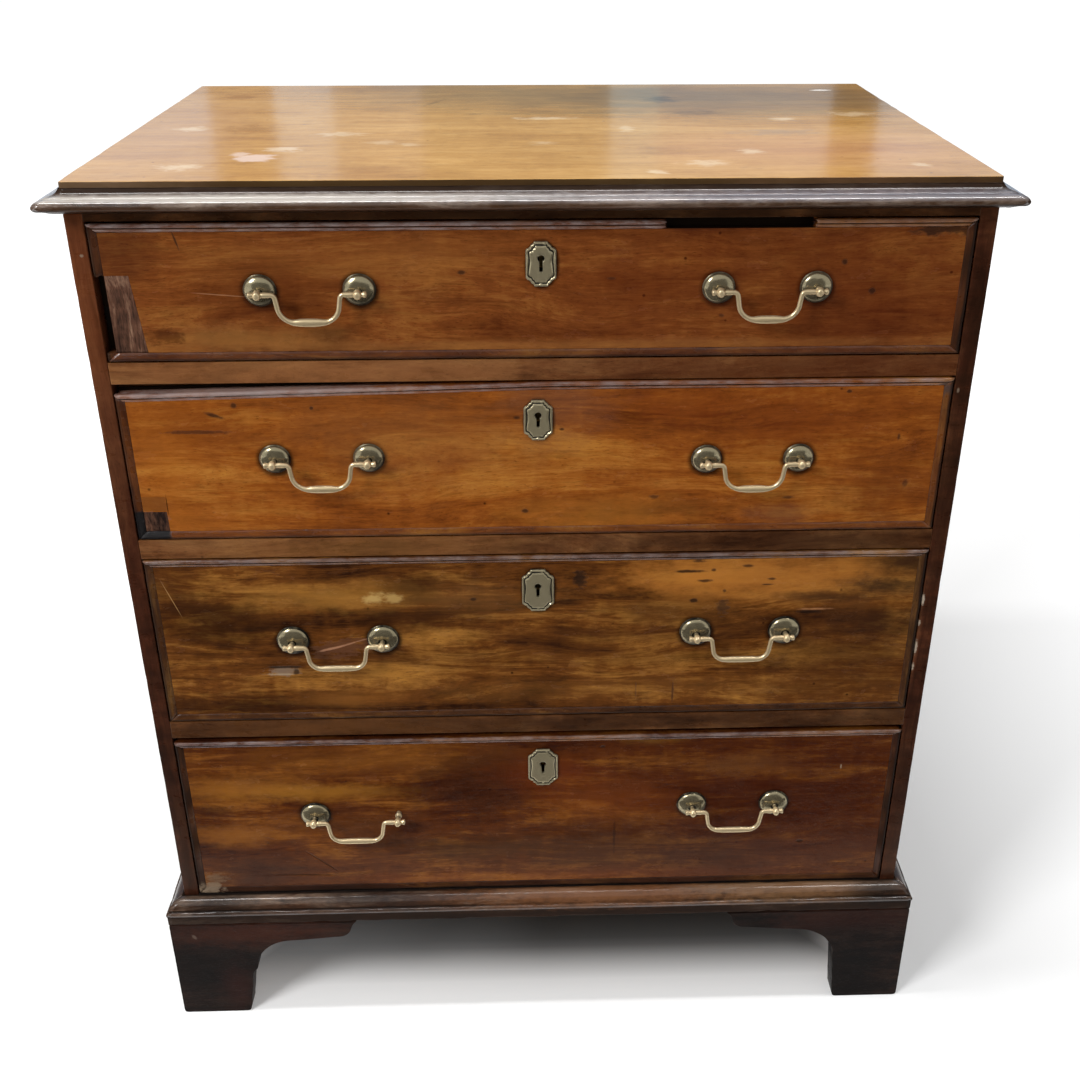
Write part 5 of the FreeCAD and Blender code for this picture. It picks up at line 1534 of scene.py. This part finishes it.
def post_and_nut(across, up):
    """A turned post with an oval ball at the bail, and a square nut behind the drawer front."""
    # The post's (radius, distance out past the bail's line), from its ball back to its thread.
    knots = [(0.02, 4.6), (1.6, 4.3), (2.6, 3.4), (3.3, 1.8), (3.5, 0.2), (3.1, -1.8), (2.2, -3.2),
             (1.75, -4.6), (1.8, -6.2), (2.3, -7.4), (3.1, -8.2), (3.2, -9.0), (2.4, -9.8), (2.3, -13)]
    shaft = curve_through(knots, 5)
    tail = [(2.3, -33.5), (2.3, -37.4), (1.7, -38.2), (0.02, -38.4)]
    profile = np.vstack([shaft, tail])
    profile[:, 1] = -EYE_OUT - profile[:, 1]
    ball = np.clip(1 - np.abs(np.arange(len(profile)) - 18) / 22, 0, 1)
    neck = np.exp(-((profile[:, 1] + EYE_OUT - 5.4) / 1.6) ** 2)
    angle = np.linspace(0, 2 * pi, 24, endpoint=False)
    post = turned(profile, (across, FACE, up), angle, ball[:, None], neck[:, None], squash=1.18)
    angle = np.linspace(0, 2 * pi, 40, endpoint=False)
    square = 4.6 / (np.abs(np.cos(angle)) ** 8 + np.abs(np.sin(angle)) ** 8) ** 0.125
    rings = np.array([(0.55, 3.3), (0.85, 3.2), (0.97, 2.8), (1, 2.3), (1, 0.1)])
    points = np.stack([across + rings[:, :1] * square * np.cos(angle),
                       FACE_BACK + rings[:, 1:] + np.zeros(len(angle)),
                       up + rings[:, :1] * square * np.sin(angle)], -1)
    return [post, Skin(points, None, 0.4)]


class CHEST_OT_bails(Operator):
    """The swan-necked bails, thicker along their grips"""

    bl_idname = "chest.bails"
    bl_label = "Bails"

    def execute(self, context):
        size = sizes()
        rubbed = brass("rubbed brass bail", "rubbed_brass", 0.3, metal=0.6, pitted=0.8)
        for drawer in DRAWERS:
            for side in SIDES:
                name = f"drawer_{drawer}_bail_{side}"
                skin = bail(*HANDLES[drawer, side], size, drawer in (1, 2))
                make_piece(f"{name}_wire", [skin], rubbed, name, [name])
        return {"FINISHED"}


def bail(across, up, spacing, size, small):
    """A wire along a swan-necked line: straight runs joined by arcs, with an oval section that swells.

    The section at each place is radius * (cos a along the line's own normal, sin a out of the drawer), and
    the radius is the wire's, plus a bell for the grip in the middle and one for the knob at each end. The
    small bails of the upper drawers have rounder bends and a shorter, thicker grip.
    """
    half, drop, stub = spacing / 2, size["bail_drop"], size["stub"]
    bend, reach, swell = (14, 13, 1.5) if small else (11, 17, 1.0)
    shoulder = half - 13.5
    corner = [(-half - stub, 0, 0), (-shoulder, 0, 3.4), (17 - half, -drop, bend), (half - 17, -drop, bend),
              (shoulder, 0, 3.4), (half + stub, 0, 0)]
    line = bent(corner)
    walked = np.concatenate([[0], np.cumsum(np.hypot(*np.diff(line, axis=0).T))])
    places = np.linspace(0, walked[-1], 170)
    line = np.stack([np.interp(places, walked, line[:, axis]) for axis in (0, 1)], -1)
    way = np.gradient(line, axis=0)
    way /= np.linalg.norm(way, axis=1)[:, None]
    aside = np.stack([-way[:, 1], way[:, 0]], -1)
    middle = np.abs(places - walked[-1] / 2)
    grip = np.exp(-(middle / reach) ** 4) * swell
    if small:
        grip = grip * np.cos(np.clip(middle / 30, 0, 1)) ** 2
    end = np.minimum(places, walked[-1] - places)
    knob = 0.6 * np.exp(-((end - 1.6) / 1.5) ** 4) + 0.35 * np.exp(-((end - 13.5) / 3.0) ** 2)
    round_end = np.sqrt(np.clip(1 - np.clip(1 - end / 0.9, 0, 1) ** 2, 0.0004, 1))
    radius = (size["wire_radius"] + knob) * round_end
    angle = np.linspace(0, 2 * pi, 20, endpoint=False)
    tall = (radius + grip)[:, None]
    deep = (radius + grip * 0.65)[:, None]
    points = np.empty((len(line), len(angle), 3))
    points[..., 0] = across + line[:, :1] + aside[:, :1] * tall * np.cos(angle)
    points[..., 2] = up + line[:, 1:] + aside[:, 1:] * tall * np.cos(angle)
    points[..., 1] = FACE - EYE_OUT + deep * np.sin(angle)
    wear = 0.4 + 0.5 * np.exp(-(middle / 24) ** 2)
    dirt_and_shade = np.exp(-((end - stub) / 2.2) ** 2)
    return Skin(points, None, wear[:, None], dirt_and_shade[:, None])


def bent(corner):
    """A line along straight runs between corners (x, y, radius), with an arc at each inner corner."""
    points = [np.array(corner[0][:2], float)]
    for before, here, after in zip(corner, corner[1:], corner[2:]):
        middle = np.array(here[:2], float)
        back = np.array(before[:2]) - middle
        on = np.array(after[:2]) - middle
        back, on = back / np.linalg.norm(back), on / np.linalg.norm(on)
        reach = here[2] / np.tan(np.arccos(back @ on) / 2)
        turn = 1 if back[0] * on[1] - back[1] * on[0] < 0 else -1
        points.append(middle + back * reach)
        points.extend(arc(middle + back * reach, middle + on * reach, here[2], turn, 0.6))
    points.append(np.array(corner[-1][:2], float))
    return np.array(points)


# ---------------------------------------------------------------- stage

class CHEST_OT_stage(Operator):
    """The pale floor, the soft studio light and the camera"""

    bl_idname = "chest.stage"
    bl_label = "Stage"

    def execute(self, context):
        scene = context.scene
        scene.view_settings.view_transform = "Standard"
        lay_floor()
        light_room(scene)
        lamp("key lamp", (-2.5, -2.2, 2.9), (1.2, 1.2), 115)
        lamp("strip lamp", (0, -0.25, 2.5), (3.4, 0.14), 46)
        for name, cards in REFLECTED.items():
            hang_cards(name, cards)
        scene.camera = place_camera()
        return {"FINISHED"}


# Cards that are seen only in polished surfaces: the far wall, from left to right, and dark boards in front.
WALL_EDGES = (-3.2, -0.93, -0.74, -0.57, -0.31, 0.245, 0.39, 0.905, 1.045, 3.2)
WALL_LIGHTS = ((0.42, 0.5, 0.62), (0.24, 0.2, 0.2), (0.5, 0.57, 0.64), (0.32, 0.32, 0.34), (0.19, 0.2, 0.2),
               (0.42, 0.5, 0.52), (0.38, 0.4, 0.44), (0.13, 0.09, 0.07), (0.42, 0.5, 0.6))
REFLECTED = {
    "far_wall": [
        (((left, 2.5, 0), (right, 2.5, 0), (right, 2.5, 3.2), (left, 2.5, 3.2)), light)
        for left, right, light in zip(WALL_EDGES, WALL_EDGES[1:], WALL_LIGHTS)],
    "dark_boards": [
        (((-2.6, -3.4, 0.01), (2.6, -3.4, 0.01), (2.6, -0.42, 0.01), (-2.6, -0.42, 0.01)),
         (0.05, 0.04, 0.035)),
        (((-2.6, -3.4, 0.01), (2.6, -3.4, 0.01), (2.6, -3.4, 2.0), (-2.6, -3.4, 2.0)),
         (0.12, 0.11, 0.1))],
}


def hang_cards(name, cards):
    """Flat glowing cards, each with its own colour, that only reflections show."""
    mesh = bpy.data.meshes.new(name)
    points = [corner for place, _ in cards for corner in place]
    mesh.from_pydata(points, [], np.arange(len(points)).reshape(-1, 4).tolist())
    card = link(name, mesh)
    for index, (_, light) in enumerate(cards):
        material = bpy.data.materials.new(f"{name} {index + 1}")
        material.use_nodes = True
        nodes = material.node_tree.nodes
        nodes.clear()
        glow = nodes.new("ShaderNodeEmission")
        glow.inputs["Color"].default_value = (*light, 1)
        output = nodes.new("ShaderNodeOutputMaterial")
        material.node_tree.links.new(glow.outputs[0], output.inputs["Surface"])
        mesh.materials.append(material)
        mesh.polygons[index].material_index = index
    for ray in ("camera", "diffuse", "transmission", "volume_scatter", "shadow"):
        setattr(card, f"visible_{ray}", False)


def lay_floor():
    """A wide pale sheet: it keeps the chest's shadow, is painted darker under it as a painted shadow, and
    is lifted to white.

    The lift is a glow that shows only where the sheet is seen. It is least under the chest and in its
    shadow at the right, grows over the chest's edge, and grows again where the lamps no longer reach. Under
    the chest's left end it is raised a little: painted light on the shadow there.
    """
    half = 14.0
    drop = -0.0004
    half_wide, half_deep = 0.38, 0.235
    mesh = bpy.data.meshes.new("floor")
    points = [(-half, -half, drop), (half, -half, drop), (half, half, drop), (-half, half, drop)]
    mesh.from_pydata(points, [], [(0, 1, 2, 3)])
    floor = link("floor", mesh)
    sheet = Finish("pale floor")
    paint = sheet.nodes.new("ShaderNodeBsdfDiffuse")
    parts = sheet.parts(sheet.where)
    aside = sheet.sum("SUBTRACT", sheet.sum("ABSOLUTE", parts["X"]), half_wide)
    ahead = sheet.sum("SUBTRACT", sheet.sum("ABSOLUTE", parts["Y"]), half_deep)
    # How far each place is from the chest's outline: less than 0 under the chest.
    clear = sheet.sum("MAXIMUM", aside, ahead)
    edge = sheet.level(clear, -0.075, 0.0, smooth=True)
    # The paint grows darker under the chest towards its middle: a painted shadow.
    greys = [(0, 0.11), (0.42, 0.12), (0.5, 0.17), (0.68, 0.49), (0.84, 0.8), (1, 0.82)]
    stops = [(place, (grey, grey, grey, 1)) for place, grey in greys]
    sheet.feed(paint.inputs["Color"], sheet.ramp(sheet.level(clear, -0.145, -0.01), stops))
    right = sheet.sum("MULTIPLY", sheet.level(parts["X"], 0.3, 0.42), sheet.level(clear, 0.1, 0.5, 1, 0))
    near = sheet.sum("MULTIPLY", edge, sheet.sum("MULTIPLY_ADD", right, -0.13, 0.25))
    lift = sheet.sum("ADD", near, sheet.level(clear, 0.1, 1.6, 0, 0.5))
    # A glow under the chest's left end: painted light on its shadow there.
    left = sheet.level(parts["X"], -0.24, 0, 0.13, 0)
    under = sheet.sum("MULTIPLY", sheet.level(clear, -0.15, -0.05), left)
    lift = sheet.sum("ADD", lift, sheet.sum("MULTIPLY", under, sheet.sum("SUBTRACT", 1, edge)))
    glow = sheet.nodes.new("ShaderNodeEmission")
    sheet.feed(glow.inputs["Strength"], sheet.sum("MULTIPLY", lift, seen_only(sheet)))
    both = sheet.nodes.new("ShaderNodeAddShader")
    sheet.feed(both.inputs[0], paint.outputs[0])
    sheet.feed(both.inputs[1], glow.outputs[0])
    sheet.nodes.remove(sheet.shader)
    output = next(node for node in sheet.nodes if node.bl_idname == "ShaderNodeOutputMaterial")
    sheet.feed(output.inputs["Surface"], both.outputs[0])
    mesh.materials.append(sheet.material)


def seen_only(cloth):
    """1 for what the camera sees straight, in a reflection or through glass, and 0 for the rest."""
    path = cloth.nodes.new("ShaderNodeLightPath")
    seen = cloth.sum("MAXIMUM", path.outputs["Is Camera Ray"], path.outputs["Is Glossy Ray"])
    return cloth.sum("MAXIMUM", seen, path.outputs["Is Transmission Ray"])


def light_room(scene):
    """White all round where it is seen, and a softer light where it falls on the chest."""
    world = bpy.data.worlds.new("studio")
    world.use_nodes = True
    scene.world = world
    nodes, links = world.node_tree.nodes, world.node_tree.links
    nodes.clear()
    output = nodes.new("ShaderNodeOutputWorld")
    air = nodes.new("ShaderNodeBackground")
    path = nodes.new("ShaderNodeLightPath")
    # How bright the air is where it isn't seen.
    room_light = 0.42
    seen = path.outputs["Is Camera Ray"]
    for name in ("Is Glossy Ray", "Is Transmission Ray"):
        either = nodes.new("ShaderNodeMath")
        either.operation = "MAXIMUM"
        links.new(seen, either.inputs[0])
        links.new(path.outputs[name], either.inputs[1])
        seen = either.outputs[0]
    level = nodes.new("ShaderNodeMath")
    level.operation = "MULTIPLY_ADD"
    links.new(seen, level.inputs[0])
    level.inputs[1].default_value = 1 - room_light
    level.inputs[2].default_value = room_light
    links.new(level.outputs[0], air.inputs["Strength"])
    links.new(air.outputs[0], output.inputs["Surface"])


def lamp(name, place, size, power):
    """A soft lamp, across and up its face, that faces the middle of the chest."""
    light = bpy.data.lights.new(name, "AREA")
    light.shape = "RECTANGLE"
    light.size, light.size_y = size
    light.energy = power
    thing = link(name, light)
    thing.location = place
    middle = Vector((0, 0, 0.45))
    thing.rotation_euler = (middle - Vector(place)).to_track_quat("-Z", "Y").to_euler()


def place_camera():
    """A camera in front of the chest and a little above it, looking down at it."""
    lens = bpy.data.cameras.new("camera")
    lens.lens = 40.235
    lens.sensor_width = 36
    lens.shift_x = -0.0213
    lens.shift_y = -0.0833
    lens.clip_end = 60
    pitch, yaw, roll = 0.4445914, 0.0313238, 0.0011722
    forward = Vector((sin(yaw) * cos(pitch), cos(yaw) * cos(pitch), -sin(pitch)))
    level = Vector((cos(yaw), -sin(yaw), 0))
    upright = level.cross(forward)
    right = level * cos(roll) + upright * sin(roll)
    up = upright * cos(roll) - level * sin(roll)
    turn = Matrix((right, up, -forward)).transposed().to_4x4()
    camera = link("camera", lens)
    camera.matrix_world = Matrix.Translation((-0.008124, -1.146957, 1.09148)) @ turn
    return camera


# ---------------------------------------------------------------- the add-on

OPERATORS = (
    CHEST_OT_top, CHEST_OT_carcase, CHEST_OT_base, CHEST_OT_fronts, CHEST_OT_beads, CHEST_OT_boxes,
    CHEST_OT_locks, CHEST_OT_key_plates, CHEST_OT_handles, CHEST_OT_bails, CHEST_OT_stage,
)


class CHEST_PT_build(Panel):
    """Lists what the chest is built from, with its sizes and colours"""

    bl_idname = "CHEST_PT_build"
    bl_label = "Bachelor's chest"
    bl_space_type = "VIEW_3D"
    bl_region_type = "UI"
    bl_category = "Chest"

    def draw(self, context):
        layout = self.layout
        for group in (context.scene.chest_sizes, context.scene.chest_colours):
            box = layout.box()
            for name in group.__annotations__:
                box.prop(group, name)
        for operator in OPERATORS:
            layout.operator(operator.bl_idname)


CLASSES = (ChestSizes, ChestColours, *OPERATORS, CHEST_PT_build)


def register():
    """Make the settings, the operators and the panel known."""
    for kind in CLASSES:
        bpy.utils.register_class(kind)
    bpy.types.Scene.chest_sizes = PointerProperty(type=ChestSizes)
    bpy.types.Scene.chest_colours = PointerProperty(type=ChestColours)


def unregister():
    """Take them away again."""
    del bpy.types.Scene.chest_colours
    del bpy.types.Scene.chest_sizes
    for kind in reversed(CLASSES):
        bpy.utils.unregister_class(kind)


def main():
    """Build every piece in turn."""
    register()
    for operator in OPERATORS:
        family, name = operator.bl_idname.split(".")
        getattr(getattr(bpy.ops, family), name)()


if __name__ == "__main__":
    main()
